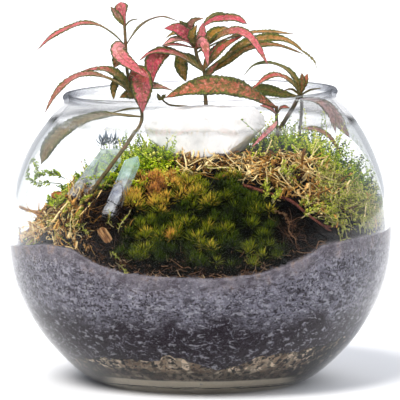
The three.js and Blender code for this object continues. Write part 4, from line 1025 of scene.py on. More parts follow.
def stem_material():
    look = new_look("plant_stem")
    look.colour = look.spots(380, 4, 0.65).ramp((0.32, (0.20, 0.17, 0.12)), (0.5, (0.36, 0.32, 0.18)),
                                                (0.66, (0.45, 0.28, 0.20)))
    return look.finish(bump=(look.spots(1500, 3), 0.4, 0.0004), Roughness=0.6)


def floor_material():
    look = new_look("pale_floor")
    look.colour = look.spots(3, 2).ramp((0.3, (0.95, 0.953, 0.96)), (0.7, (0.96, 0.963, 0.97)))
    return look.finish(Roughness=0.9, Specular_IOR_Level=0.1)


# Bowl and layers
def tilted(points):
    """The mouth's slight slope to the right."""
    share = smoothstep(points[:, 2], TILT_FROM, TILT_TO)
    points[:, 2] += points[:, 0] * MOUTH_TILT * share
    return points


def round_rings(profile, steps):
    angle = turns(steps)
    radius, height = np.asarray(profile, float).T
    x = radius[:, None] * np.cos(angle)
    y = radius[:, None] * np.sin(angle)
    return np.stack([x, y, np.broadcast_to(height[:, None], x.shape)], axis=-1)


def glass_bowl():
    outside = smooth_profile(BOWL_OUTLINE + LIP_OUTLINE)
    inside_wall = smooth_profile(inner_outline()[::-1])
    points, faces = loft(round_rings([*BOWL_FOOT, *outside, *inside_wall, *BOWL_FLOOR], BOWL_STEPS))
    return make_mesh("clear_bowl", tilted(points), facing_out(points, faces), glass_material())


def layer(bottom, top, rows, top_rings, crumb, pebble):
    """A body that fills the glass between two heights, with a crumbly wall and top."""
    angle = turns(LAYER_STEPS)
    ways = np.stack([np.cos(angle), np.sin(angle)], axis=-1)
    rim = ways * SOIL_RADIUS
    low = bottom(*rim.T)
    high = top(*rim.T)
    rings = []
    for share in np.linspace(0, 1, rows):
        height = low + (high - low) * share
        radius = wall_radius(height) + TOUCH
        rings.append(np.column_stack([ways * radius[:, None], height]))

    def flat_ring(outer, share, height):
        spot = ways * (np.hypot(*outer[:, :2].T) * share)[:, None]
        return np.column_stack([spot, height(*spot.T)])

    rings += [flat_ring(rings[rows - 1], share, top) for share in np.linspace(1, INNERMOST, top_rings)[1:]]
    under = [flat_ring(rings[0], share, bottom) for share in UNDER_RINGS]
    wall = np.array(rings)
    flat = wall.reshape(-1, 3)
    pushed = crumb * np.abs(rough(flat, pebble)) + 0.5 * crumb * np.abs(rough(flat, pebble / 2.5, 5))
    on_wall = np.repeat(np.arange(len(wall)) < rows, LAYER_STEPS)
    pushed[on_wall] = np.maximum(0, pushed[on_wall] - CONTACT_SHARE * crumb)
    radius = np.maximum(np.hypot(flat[:, 0], flat[:, 1]), 1e-6)
    flat[on_wall, :2] *= (1 - pushed / radius)[on_wall, None]
    flat[~on_wall, 2] -= pushed[~on_wall]
    points, faces = loft(np.concatenate([np.array(under), flat.reshape(wall.shape)]))
    lid = np.concatenate([np.zeros(len(under) * LAYER_STEPS), ~on_wall, [0, 1]]).astype(float)
    to_rim = SOIL_RADIUS / np.maximum(np.hypot(points[:, 0], points[:, 1]), 1e-6)
    below = top(points[:, 0] * to_rim, points[:, 1] * to_rim) - points[:, 2]
    return points, facing_out(points, faces), {"lid": lid, "below": below}


def gravel_floor(x, y):
    return np.full_like(x, BASE_GLASS - TOUCH)


def ragged_gravel_top(x, y):
    """The gravel's top with the chips that stand out of it."""
    return gravel_top(x, y) + 1.3 * rough_plan(x, y, 4.5, 7) + 0.9 * rough_plan(x, y, 1.7, 8)


def soil_floor(x, y):
    return ragged_gravel_top(x, y) + TOUCH


def gravel_layer():
    points, faces, _ = layer(gravel_floor, ragged_gravel_top, rows=26, top_rings=16, crumb=0.7, pebble=2.4)
    return make_mesh("gravel_chips", points, faces, gravel_material())


def potting_soil():
    points, faces, values = layer(soil_floor, soil_top, rows=72, top_rings=44, crumb=0.9, pebble=2.0)
    return make_mesh("soil_crumbs", points, faces, soil_material(), values)


# Stones
def cut_stone(name, corners, material, seed, bevel, dent, size):
    """A stone with the given corners, blunt edges and dents of a depth and size in its faces."""
    body = bmesh.new()
    for corner in corners:
        body.verts.new(Vector(corner) * MM)
    bmesh.ops.convex_hull(body, input=body.verts)
    bmesh.ops.delete(body, geom=[v for v in body.verts if not v.link_faces], context="VERTS")
    bmesh.ops.dissolve_limit(body, angle_limit=FLAT_ANGLE, verts=body.verts, edges=body.edges)
    bmesh.ops.bevel(body, geom=body.edges[:], offset=bevel * MM, segments=2, affect="EDGES", profile=0.6)
    bmesh.ops.triangulate(body, faces=body.faces)
    for _ in range(STONE_CUTS):
        bmesh.ops.subdivide_edges(body, edges=body.edges[:], cuts=1, use_grid_fill=True)
    bmesh.ops.triangulate(body, faces=body.faces)
    body.normal_update()
    offset = Vector((seed * 3.1, seed * 7.7, seed))
    for vertex in body.verts:
        spot = vertex.co / (size * MM) + offset
        depth = abs(noise.noise(spot)) + 0.5 * abs(noise.noise(spot * 2.7))
        vertex.co -= vertex.normal * depth * dent * MM
    mesh = bpy.data.meshes.new(name)
    body.to_mesh(mesh)
    body.free()
    piece = standing(name, mesh, material)
    mesh.set_sharp_from_angle(angle=SHARP_ANGLE)
    return piece


def crystal_corners(foot, top, radius, tip, turn):
    start, end = place([foot, top])
    ahead = unit(end - start)
    up = np.array([0.0, -1.0, 0.0])
    up = unit(up - ahead * up.dot(ahead))
    side = np.cross(ahead, up)
    corners = [end + side * radius * POINT_OFFSET]
    for centre in (start, end - ahead * tip):
        for step in range(CRYSTAL_SIDES):
            angle = math.radians(turn + step * 360 / CRYSTAL_SIDES)
            reach = radius * (1 if step % 2 == 0 else NARROW_CORNER)
            corners.append(centre + up * reach * math.cos(angle) + side * reach * math.sin(angle))
    return corners


# Twigs and chips
def twig_line(line, lift):
    return place(line) if len(line[0]) == 3 else np.array([on_mound(spot, lift) for spot in line])


def woody_tube(heap, points, start, end, seed, sides, knots):
    """A round stem or twig that thins along its line, with small knots."""
    count = max(6, int(line_length(points) / STEM_STATION))
    shares, spine, up, side, _ = frames_along(points, count, ASKEW)
    radius = start + (end - start) * shares
    radius = radius * (1 + knots * rough(spine, KNOT_SIZE, seed))
    angle = turns(sides)
    out = up[:, None] * np.cos(angle)[None, :, None] + side[:, None] * np.sin(angle)[None, :, None]
    heap.add(*loft(spine[:, None] + out * radius[:, None, None]))


def twig_piece(name, twigs, material, seed):
    heap = Heap()
    for twig in twigs:
        line = twig_line(twig["line"], twig["lift"])
        woody_tube(heap, line, twig["radius"], twig["end"], seed, sides=10, knots=0.28)
    return heap.mesh(name, material)


def bark_chip(name, material, seed, centre, lift, length, width, thick, turn):
    middle = on_mound(centre, lift)
    angle = math.radians(turn)
    along = np.array([math.cos(angle), 0, math.sin(angle)])
    across = unit(np.cross(along, ARCHED))
    out = unit(np.cross(across, along))
    corners = []
    for end, narrow in CHIP_WIDTHS:
        for side in (-1, 1):
            spot = middle + along * end * length / 2 + across * side * width / 2 * narrow
            corners += [spot - out * thick / 2, spot + out * thick / 2]
    return cut_stone(name, corners, material, seed, bevel=0.25, dent=0.35, size=1.1)


# Leaves
def leaf_reach(share, peak):
    """Share of the width: narrow at the stalk, all of it at the peak and drawn out to a tip."""
    power = math.log(0.5) / math.log(peak)
    ending = 0.8 if peak > BLUNT_FROM else 1.3
    body = np.maximum(0, np.sin(math.pi * share**power)) ** np.where(share > peak, ending, 0.8)
    return 0.12 + 0.88 * body


def leaf(heap, seed, line, width, normal, peak, stalk_colour, tip_colour, inner_share, blotch, twist=0):
    """One blade, folded along its midrib, quilted between its veins and toothed along both edges."""
    points = place(line)
    count = max(14, int(line_length(points) / STATION))
    shares, spine, up, side, length = frames_along(points, count, normal, twist, facing=True)
    gone = shares * length
    across = np.linspace(-1, 1, LEAF_COLUMNS)
    saw = (gone / TOOTH_PITCH + 0.35 * np.sin(gone / 2.3 + seed) + seed * 0.37) % 1
    jag = TOOTH_DEPTH / (width / 2) * (0.6 + 0.9 * np.abs(np.sin(gone / 3.7 + seed * 1.7)))
    toothed = 1 + jag * (saw - 0.55) * smoothstep(shares, 0.05, 0.2) * smoothstep(1 - shares, 0, 0.08)
    reach = width / 2 * leaf_reach(shares, peak) * toothed * (0.35 + 0.65 * smoothstep(1 - shares, 0, 0.06))
    wide = np.abs(across)[None, :]
    arch = np.sin(math.pi * shares)[:, None]
    vein = gone[:, None] / VEIN_PITCH - wide * VEIN_SLANT * width / 8 + 8
    quilt = 0.035 * width * np.abs(np.sin(math.pi * vein)) * wide * (1.15 - wide) * 4 * arch
    wave = 0.08 * width * np.sin(gone / 2.9 + seed)[:, None] * wide**3 * np.sign(across)[None, :] * arch
    rise = reach[:, None] * LEAF_FOLD * arch * wide**1.25 + quilt * 0.5 + wave
    sheet = spine[:, None] + side[:, None] * (reach[:, None] * across)[:, :, None]
    sheet = sheet + up[:, None] * rise[:, :, None]
    half = LEAF_HALF * (1 - 0.45 * wide) * np.ones((count, 1))
    rib = 0.09 * width**0.5 * np.exp(-((wide / 0.12) ** 2)) * (1 - 0.7 * shares[:, None])
    upper = sheet + up[:, None] * half[:, :, None]
    lower = sheet - up[:, None] * (half + rib)[:, :, None]
    colour_from = 0.22 + 0.5 * max(0, blotch - 0.4)
    gradient = smoothstep(shares, colour_from, colour_from + 0.35)[:, None]
    inner = np.array(stalk_colour) * (1 - gradient) + np.array(tip_colour) * gradient
    under = np.tile(np.repeat([0.0, 1.0], LEAF_COLUMNS), count)

    def on_rings(value):
        """The value on both faces of each ring, and at the two end points."""
        half_rings = np.broadcast_to(value, (count, LEAF_COLUMNS))
        both = np.concatenate([half_rings, half_rings[:, ::-1]], axis=1).ravel()
        return np.concatenate([both, [both[0], both[-1]]])

    heap.add(
        *loft(np.concatenate([upper, lower[:, ::-1]], axis=1)),
        inner=np.vstack([np.repeat(inner, 2 * LEAF_COLUMNS, axis=0), inner[:1], inner[-1:]]),
        across=on_rings(wide),
        vein=on_rings(vein),
        under=np.concatenate([under, [0.0, 1.0]]),
        share=inner_share,
        blotch=blotch,
    )


def plant(name, slot, stems, leaves, leafy, woody, seed):
    blades_heap = Heap()
    for i, row in enumerate(leaves):
        leaf(blades_heap, seed + i, *row)
    stems_heap = Heap()
    for i, (line, radius, end) in enumerate(stems):
        woody_tube(stems_heap, place(line), radius, end, seed + i, sides=12, knots=0.14)
    dressed(blades_heap.mesh(name + "_leaves", leafy), name, slot)
    dressed(stems_heap.mesh(name + "_stems", woody), name, slot)


# Mosses
class Draw:
    """Numbers from 0 to 1, the same as in the solids for the same seed."""

    def __init__(self, seed):
        self.state = seed

    def __call__(self):
        self.state = (self.state * 1664525 + 1013904223) % 2**32
        return self.state / 2**32

    def between(self, span):
        return span[0] + (span[1] - span[0]) * self()


def inside(outline, x, y):
    """Which points lie inside a closed outline whose sides wander a little."""
    x, y = x + WANDER * np.sin(y / 5.3 + x / 17), y + WANDER * np.sin(x / 4.7 + y / 13)
    found = np.zeros(np.shape(x), bool)
    for (ax, ay), (bx, by) in zip(outline, outline[1:] + outline[:1]):
        if ay != by:
            crosses = (ay > y) != (by > y)
            found ^= crosses & (x < (bx - ax) * (y - ay) / (by - ay) + ax)
    return found


def moss_share(patch, x):
    """The share of its height that moss reaches, less on the left where the crystals stand."""
    share = smoothstep(np.asarray(x, float), LOW_FROM, LOW_TO) if patch.get("low") else np.ones(np.shape(x))
    return LOW_MOSS + (1 - LOW_MOSS) * share


def tuft_peaks(patch):
    """Foot and height of the tufts that the solid has."""
    draw = Draw(patch["seed"])
    cell = patch["cell"]
    xs, ys = zip(*patch["outline"])
    left, front = min(xs) - cell, min(ys) - cell
    columns = math.ceil((max(xs) + cell - left) / cell) + 1
    rows = math.ceil((max(ys) + cell - front) / cell) + 1
    found = []
    for row in range(rows):
        for column in range(columns):
            x = left + (column + (draw() - 0.5) * 0.5) * cell
            y = front + (row + (draw() - 0.5) * 0.5) * cell
            if (row + column) % 2 == 0:
                full = patch["crown"] + patch["tuft"] * (0.4 + draw())
                found.append((x, y, full * moss_share(patch, x)))
    return np.array(found)


def main_strands(patch):
    """The lines of the strands that the solid has, with their start radius."""
    draw = Draw(patch["seed"] + 1)
    outline = patch["outline"]
    centre = np.mean(np.array(outline, float), axis=0)
    lines, radii = [], []
    for _ in range(patch["strands"]):
        corner = int(draw() * len(outline))
        start = np.array(outline[corner], float)
        end = np.array(outline[(corner + 1) % len(outline)], float)
        edge = start + (end - start) * draw()
        share = math.sqrt(draw()) * 0.93
        x, y = centre + (edge - centre) * share
        swing = np.array([draw() - 0.5, draw() - 0.5, draw() - 0.3]) * patch["spread"]
        ahead = unit(soil_normal(np.array(x), np.array(y)) + swing)
        lower = moss_share(patch, x)
        length = draw.between(patch["reach"]) * lower
        radii.append(draw.between(patch["radius"]))
        lean = np.array([draw() - 0.5, draw() - 0.5, 0.2 - draw()]) * patch["bend"] * length
        root = np.array([x, y, soil_top(x, y) + patch["crown"] * 0.35 * lower])
        middle, tip = root + ahead * length * 0.55, root + ahead * length + lean
        lines.append(smooth_line([root, middle, tip], steps=4))
    return np.array(lines), np.array(radii)


def within_glass(x, y, gap):
    return np.hypot(x, y) < wall_radius(soil_top(x, y)) - gap


def scattered(outline, count, chance, gap=1.5):
    """Seeded places inside an outline, within the glass."""
    xs, ys = zip(*outline)
    x = chance.uniform(min(xs), max(xs), count * 4)
    y = chance.uniform(min(ys), max(ys), count * 4)
    kept = inside(outline, x, y) & within_glass(x, y, gap)
    kept &= (x > BARE_SHELF) | (chance.random(len(x)) < SHELF_SHARE)
    return x[kept][:count], y[kept][:count]


def level_ways(normal, chance):
    """Ways along the slope, each turned at random."""
    any_way = chance.normal(0, 1, normal.shape)
    return unit(any_way - normal * np.sum(any_way * normal, axis=1)[:, None])


def add_copies(heap, points, faces, tone, span):
    """Many pieces with the same triangles, each with its tone and with values along its points."""
    count, size = points.shape[:2]
    all_faces = (faces[None] + np.arange(count)[:, None, None] * size).reshape(-1, 3)
    tone = np.broadcast_to(np.asarray(tone, float), (count,))
    heap.add(kept_inside(points.reshape(-1, 3)), all_faces, tone=np.repeat(tone, size),
             along=np.tile(span, count))


def blades(heap, root, tip, width, bend, tone, along):
    """Many slim blades at once, pointed at both ends and three sided in their middle."""
    side, out = across_ways(unit(tip - root))
    middle = (root + tip) / 2 + bend
    left, right = middle + side * width * 0.5, middle - side * width * 0.5
    points = np.stack([root, left, right, middle + out * width * BLADE_FLATNESS, tip], axis=1)
    span = np.array([along[0]] + [(along[0] + along[1]) / 2] * 3 + [along[1]])
    add_copies(heap, points, BLADE_FACES, tone, span)


def strands(heap, lines, start, end, tone, along, flat=1.0):
    """Many three sided strands or ribbons at once, along lines with equal numbers of points."""
    count, stations = lines.shape[:2]
    side, out = across_ways(unit(np.gradient(lines, axis=1)))
    share = np.linspace(0, 1, stations)[None, :, None]
    start, end = (np.broadcast_to(radius, (count,))[:, None, None] for radius in (start, end))
    radius = start * (1 - share) + end * share
    rings = [lines + radius * (side * math.cos(turn) + out * math.sin(turn) * flat) for turn in turns(3)]
    points = np.stack(rings, axis=2).reshape(count, stations * 3, 3)
    last = stations * 3 - 3
    faces = np.vstack([ring_faces(stations, 3), [(0, 2, 1)], [(last, last + 1, last + 2)]])
    add_copies(heap, points, faces, tone, np.repeat(np.linspace(*along, stations), 3))


def underlay(heap, patch, depth, seed):
    """The matted body that the strands of a patch stand in, all in the near black root colour: painted shade
    in the gaps between the strands.
    """
    xs, ys = zip(*patch["outline"])
    x, y = np.meshgrid(*(np.arange(min(own), max(own) + MAT_STEP, MAT_STEP) for own in (xs, ys)))
    kept = inside(patch["outline"], x, y) & (np.hypot(x, y) < SOIL_RADIUS) & (x > BARE_SHELF)
    bumps = np.abs(rough_plan(x.ravel(), y.ravel(), 5, seed))
    bumps = (bumps + 0.6 * np.abs(rough_plan(x.ravel(), y.ravel(), 2, seed + 1))).reshape(x.shape)
    ground = soil_top(x, y)
    rise = depth * moss_share(patch, x) * (0.45 + 0.9 * bumps)
    points = np.vstack([np.stack([x, y, ground + up], axis=-1).reshape(-1, 3) for up in (rise, LAYER_GAP)])
    size = x.size
    index = np.arange(size).reshape(x.shape)
    cell = kept[:-1, :-1] & kept[:-1, 1:] & kept[1:, :-1] & kept[1:, 1:]
    a, b, c, d = index[:-1, :-1][cell], index[:-1, 1:][cell], index[1:, 1:][cell], index[1:, :-1][cell]
    top = np.vstack([np.column_stack([a, b, c]), np.column_stack([a, c, d])])
    edges = np.vstack([np.column_stack(pair) for pair in ((a, b), (b, c), (c, d), (d, a))])
    keys = {tuple(edge) for edge in edges.tolist()}
    start, end = np.array([edge for edge in keys if edge[::-1] not in keys]).T
    walls = [np.column_stack([end, start, start + size]), np.column_stack([end, start + size, end + size])]
    faces = np.vstack([top, top[:, ::-1] + size, *walls])
    used = np.unique(faces)
    renumber = np.zeros(len(points), int)
    renumber[used] = np.arange(len(used))
    # Tone 0.1 at the root end: near black, as painted shade under the strands.
    heap.add(kept_inside(points[used], MAT_WALL_GAP), renumber[faces], tone=0.1, along=0.0)


def star_shoots(heap, foot, ahead, length, tone, chance, blade, count, width):
    """Shoots that end in a star of blades, spread at its outside and steep in its middle."""
    shoots = len(foot)
    side, out = across_ways(ahead)
    stalk = np.stack([foot + ahead * (length * share)[:, None] for share in (0, 0.5, 1)], axis=1)
    strands(heap, stalk, 0.3, 0.2, np.clip(tone - 0.2, 0, 1), (0.0, 0.3))
    for k in range(count):
        inner = k / (count - 1)
        turn = k * 2.4 + chance.uniform(-0.4, 0.4, shoots)
        start = foot + ahead * (length * (0.62 + 0.38 * inner))[:, None]
        away = side * np.cos(turn)[:, None] + out * np.sin(turn)[:, None]
        way = unit(away + ahead * (0.35 + 2.2 * inner**1.4))
        size = blade * chance.uniform(0.7, 1.2, shoots) * (1.0 - 0.2 * inner)
        bend = (ahead - away * 0.2) * (-0.12 * size)[:, None]
        shade = np.clip(tone + chance.uniform(-0.1, 0.12, shoots), 0, 1)
        blades(heap, start, start + way * size[:, None], width, bend, shade, (0.0, 0.55 + 0.45 * inner))


def curled_lines(root, ahead, length, chance, curl, stations):
    """Lines that leave their root one way, sway and bend more and more another way."""
    swing = chance.normal(0, 1, root.shape)[:, None]
    sway = chance.normal(0, 1, root.shape)[:, None]
    share = np.linspace(0, 1, stations)[None, :, None]
    straight = ahead[:, None] * (length[:, None, None] * share)
    reach = (curl * length)[:, None, None]
    return root[:, None] + straight + swing * reach * share**2 + sway * reach * 0.3 * np.sin(5 * share)


def fronds(heap, lines, kind, tone, chance):
    """A stalk along each line with slim leaflets all round it, shorter towards the tip."""
    leaflets, size, width, steep = kind
    count, stations = lines.shape[:2]
    strands(heap, lines, 0.28, 0.12, np.clip(tone - 0.15, 0, 1), (0.25, 0.8))
    ahead = unit(np.gradient(lines, axis=1))
    for k in range(leaflets):
        share = 0.12 + 0.86 * k / (leaflets - 1)
        exact = share * (stations - 1)
        low = min(int(exact), stations - 2)
        part = exact - low
        start = lines[:, low] * (1 - part) + lines[:, low + 1] * part
        way = ahead[:, low]
        side = unit(np.cross(way, chance.normal(0, 1, way.shape)))
        long = size * (1.15 - 0.6 * share) * chance.uniform(0.7, 1.25, count)
        tip = start + unit(side + way * steep) * long[:, None]
        bend = way * (-0.12 * long)[:, None]
        shade = np.clip(tone + chance.uniform(-0.14, 0.16, count), 0, 1)
        blades(heap, start, tip, width, bend, shade, (0.1 + 0.35 * share, 0.6 + 0.4 * share))


def clear_of(lines, spot, space, behind):
    """Which lines don't run in front of a spot."""
    column, rise = seen_from_front(lines)
    own_column, own_rise = seen_from_front(spot)
    near = (np.hypot(column - own_column, rise - own_rise) < space) & (lines[..., 1] < spot[1] + behind)
    return ~near.any(axis=1)


def off_twig(lines, twig):
    """Which lines leave a twig in sight."""
    line = smooth_line(twig_line(twig["line"], twig["lift"]), steps=5)
    return np.all([clear_of(lines, spot, TWIG_SPACE, behind=2) for spot in line], axis=0)


def off_chip(lines, chip):
    """Which lines leave a chip in sight."""
    return clear_of(lines, on_mound(chip["centre"], chip["lift"]), chip["length"] * 0.55, behind=1)


def off_quartz(lines):
    """Which lines leave the quartz in sight."""
    column, rise = seen_from_front(lines)
    left, right, lowest = QUARTZ_CLEAR
    across = column / MM_PER_PIXEL + CENTRE_COLUMN
    down = BASE_ROW - rise / MM_PER_PIXEL
    return ~((across > left) & (across < right) & (down < lowest)).any(axis=1)


def cushion_moss():
    patch = CUSHION_MOSS
    chance = np.random.default_rng(patch["seed"])
    heap = Heap()
    underlay(heap, patch, patch["crown"] * 0.5, seed=3)
    peaks = np.repeat(tuft_peaks(patch), SHOOTS_OF_TUFT, axis=0)
    x = peaks[:, 0] + chance.normal(0, patch["cell"] * 0.34, len(peaks))
    y = peaks[:, 1] + chance.normal(0, patch["cell"] * 0.32, len(peaks))
    kept = inside(patch["outline"], x, y) & within_glass(x, y, gap=2) & (rough_plan(x, y, 4.5, 19) > -0.1)
    x, y, peak = x[kept], y[kept], peaks[kept, 2]
    foot, normal = on_soil(x, y, 1.0)
    ahead = unit(unit(normal + np.array(UP)) + chance.uniform(-0.45, 0.45, (len(x), 3)))
    length = (peak - 3.5) * chance.uniform(0.5, 1.05, len(x))
    warm = smoothstep(-x, -12, 18) * smoothstep(y, -74, -52) * 0.46 + smoothstep(y, -64, -44) * 0.16
    tone = np.clip(0.22 + warm + 0.4 * rough(foot, 9, 2) + chance.normal(0, 0.12, len(x)), 0, 1)
    star_shoots(heap, foot, ahead, length, tone, chance, blade=5.8, count=22, width=0.6)
    # The first colour is the near black root colour, painted shade at the foot of the shoots.
    material = strand_material(
        "star_moss", (0.012, 0.012, 0.004),
        (0.0, (0.07, 0.10, 0.015)), (0.25, (0.22, 0.29, 0.03)), (0.5, (0.52, 0.54, 0.10)),
        (0.68, (0.84, 0.70, 0.26)), (0.84, (0.86, 0.60, 0.28)), (0.98, (0.62, 0.40, 0.22)),
    )
    dressed(heap.mesh("cushion_moss_shoots", material), "cushion_moss", "cushion_moss")


def feather_moss(name, patch, material):
    chance = np.random.default_rng(patch["seed"])
    heap = Heap()
    underlay(heap, patch, patch["crown"] * 0.9, patch["seed"])
    peaks = tuft_peaks(patch)
    x, y = scattered(patch["outline"], patch["count"], chance)
    near = np.argmin((x[:, None] - peaks[:, 0]) ** 2 + (y[:, None] - peaks[:, 1]) ** 2, axis=1)
    away = np.hypot(x - peaks[near, 0], y - peaks[near, 1]) / patch["cell"]
    height = peaks[near, 2] * (1.05 - 0.35 * np.clip(away, 0, 1))
    foot, normal = on_soil(x, y, 1.2)
    ahead = unit(unit(normal + np.array(UP) * 0.6) + chance.normal(0, 0.75, (len(x), 3)))
    length = np.clip(height * chance.uniform(0.6, 1.0, len(x)), 2.5, 14)
    lines = curled_lines(foot, ahead, length, chance, curl=0.6, stations=7)
    tone = 0.48 + 0.3 * rough(foot, 8, patch["seed"]) + chance.normal(0, 0.24, len(x)) + patch["warm"]
    at_front_right = smoothstep(foot[:, 0], 58, 80) * (0.3 - 0.6 * smoothstep(foot[:, 1], -45, -15))
    tone = np.clip(np.clip(tone, 0, 1) + at_front_right, 0, 1)
    kept = off_chip(lines, ORANGE_CHIP)
    fronds(heap, lines[kept], FEATHER_SHOOT, tone[kept], chance)
    main, thick = main_strands(patch)
    main_tone = np.clip(0.62 + patch["warm"] + chance.normal(0, 0.12, len(main)), 0, 1)
    fronds(heap, main, FEATHER_MAIN, main_tone, chance)
    strands(heap, main, thick * 0.6, thick * 0.3, 0.4, (0.3, 1.0))
    for shoot in patch.get("shoots", []):
        fronds(heap, smooth_line(place(shoot), steps=4)[None], CURLY_FROND, 0.5, chance)
    dressed(heap.mesh(name + "_fronds", material), name, "feather_moss")


def dried_moss(name, patch, material):
    chance = np.random.default_rng(patch["seed"])
    heap = Heap()
    underlay(heap, patch, patch["crown"] * 0.7, patch["seed"])
    x, y = scattered(patch["outline"], patch["count"], chance)
    lift = chance.uniform(0.25, 1.0, len(x)) ** 0.7 * (patch["crown"] + patch["tuft"])
    root, normal = on_soil(x, y, lift[:, None] * 0.8)
    flat = level_ways(normal, chance)
    ahead = unit(flat + normal * chance.uniform(-0.15, 0.55, len(x))[:, None])
    lines = curled_lines(root, ahead, chance.uniform(2.8, 9.5, len(x)), chance, curl=0.65, stations=8)
    lines[..., 2] = np.maximum(lines[..., 2], soil_top(lines[..., 0], lines[..., 1]) + 1.0)

    def darkness(across):
        return patch["dark"] * smoothstep(across, *patch["dark_span"])

    # Strands lower in the mat get a darker tone: painted shade deep in the mat.
    tone = chance.beta(0.8, 0.65, len(x)) * (0.6 + 0.5 * lift / lift.max())
    tone = tone + 0.3 * rough(root, 9, patch["seed"]) + 0.12 - darkness(root[:, 0])
    tone = np.clip(tone, 0, 0.9) * 0.8
    green = chance.random(len(lines)) < 0.85 * smoothstep(root[:, 0], *patch["green_span"])
    kept = off_chip(lines, LIGHT_CHIP) & off_chip(lines, ORANGE_CHIP) & off_twig(lines, RED_TWIG)
    kept &= (green | (rough(root, 4.2, 29) > -0.2)) & off_quartz(lines)
    fronds(heap, lines[kept & green], GREEN_SHOOT, GREEN_TONE, chance)
    lines, tone = lines[kept & ~green], tone[kept & ~green]
    ribbons = chance.random(len(lines)) < 0.75
    fine = 1 - 0.75 * darkness(lines[:, 0, 0])
    wide = chance.uniform(0.55, 1.9, ribbons.sum()) * fine[ribbons]
    strands(heap, lines[ribbons], wide * 0.7, wide * 0.35, tone[ribbons], (0.5, 1.0), flat=0.3)
    thick = chance.uniform(0.14, 0.4, (~ribbons).sum()) * fine[~ribbons]
    strands(heap, lines[~ribbons], thick, thick * 0.5, tone[~ribbons], (0.5, 1.0))
    main, radius = main_strands(patch)
    main_tone = 0.42 - 0.42 * darkness(main[:, 0, 0])
    strands(heap, main, radius * 0.8, radius * 0.3, main_tone, (0.5, 1.0))
    fronds(heap, main, DRIED_MAIN, main_tone, chance)
    fronds(heap, lines[::4], DRIED_FROND, np.clip(tone[::4] - 0.1, 0, 0.55), chance)
    fronds(heap, lines[1::20], STRAY_SHOOT, GREEN_TONE, chance)
    for sprig in [sprig for sprig in patch["sprigs"] for _ in range(SPRIG_COPIES)]:
        shift = chance.normal(0, 1.4, 2)
        moved = [on_mound(np.array(spot) + shift, patch["crown"] + 3.5) for spot in sprig]
        fronds(heap, smooth_line(moved, steps=4)[None], GREEN_SPRIG, chance.uniform(0.84, 1.0), chance)
    dressed(heap.mesh(name + "_strands", material), name, "dried_moss")


def soil_roots():
    """Fine roots and crumbs on the bare slopes, and a few pale ones that hang over them."""
    chance = np.random.default_rng(83)
    heap = Heap()
    for outline, count, pale in BARE_SLOPES:
        x, y = scattered(outline, count, chance, gap=0.3)
        root, normal = on_soil(x, y, 0.5)
        flat = level_ways(normal, chance)
        lines = curled_lines(root, flat, chance.uniform(2.5, 9, len(x)), chance, curl=0.4, stations=7)
        ground = soil_top(lines[..., 0], lines[..., 1]) + 0.5
        lines[..., 2] = np.clip(lines[..., 2], ground, ground + 3)
        tone = np.clip(chance.beta(0.8, 1.6, len(x)) + pale, 0, 1)
        thick = chance.uniform(0.08, 0.26, len(x))
        strands(heap, lines, thick, thick * 0.4, tone, (0.6, 1.0))
    for line in PALE_ROOTS:
        curve = smooth_line([on_mound(spot, 2.5) for spot in line], steps=3)[None]
        fronds(heap, curve, ROOT_FROND, 0.8, chance)
    material = strand_material(
        "fine_roots", (0.04, 0.03, 0.02),
        (0.0, (0.04, 0.025, 0.015)), (0.35, (0.24, 0.15, 0.10)), (0.6, (0.48, 0.34, 0.24)),
        (0.85, (0.66, 0.50, 0.36)), (1.0, (0.82, 0.70, 0.54)),
    )
    dressed(heap.mesh("soil_roots", material), "potting_soil", "potting_soil")


def shaded_blue_tuft():
    chance = np.random.default_rng(91)
    heap = Heap()
    foot = place(SHADED_BLUE_TUFT)
    ahead = unit(chance.normal(0, 0.3, foot.shape) + np.array(UP))
    length = np.full(len(foot), 5.5)
    star_shoots(heap, foot, ahead, length, 0.35, chance, blade=6.5, count=16, width=0.9)
    # Blue-grey tones: painted shade for moss standing in shade behind the crystal.
    material = strand_material(
        "shaded_blue_tuft", (0.30, 0.36, 0.34),
        (0.0, (0.34, 0.40, 0.44)), (0.5, (0.50, 0.56, 0.63)), (1.0, (0.66, 0.72, 0.78)),
    )
    dressed(heap.mesh("hazy_tuft_blades", material), "feather_moss_left", "feather_moss")


def mosses():
    cushion_moss()
    soil_roots()
    shaded_blue_tuft()
    # In both materials below, the first colour is the near black root colour, painted shade deep in the mat.
    dried = strand_material(
        "dried_strands", (0.05, 0.03, 0.02),
        (0.0, (0.07, 0.045, 0.03)), (0.16, (0.31, 0.18, 0.08)), (0.32, (0.66, 0.46, 0.21)),
        (0.5, (0.92, 0.71, 0.37)), (0.72, (0.99, 0.90, 0.67)), (0.8, (0.40, 0.46, 0.10)),
        (0.9, (0.62, 0.68, 0.18)), (1.0, (0.80, 0.80, 0.32)),
    )
    for name, patch in DRIED_MOSSES.items():
        dried_moss(name, patch, dried)
    feathery = strand_material(
        "feathery_moss", (0.06, 0.06, 0.02),
        (0.0, (0.15, 0.22, 0.03)), (0.25, (0.37, 0.50, 0.04)), (0.5, (0.64, 0.76, 0.07)),
        (0.75, (0.88, 0.91, 0.20)), (0.95, (0.97, 0.94, 0.52)),
    )
    for name, patch in FEATHER_MOSSES.items():
        feather_moss(name, patch, feathery)


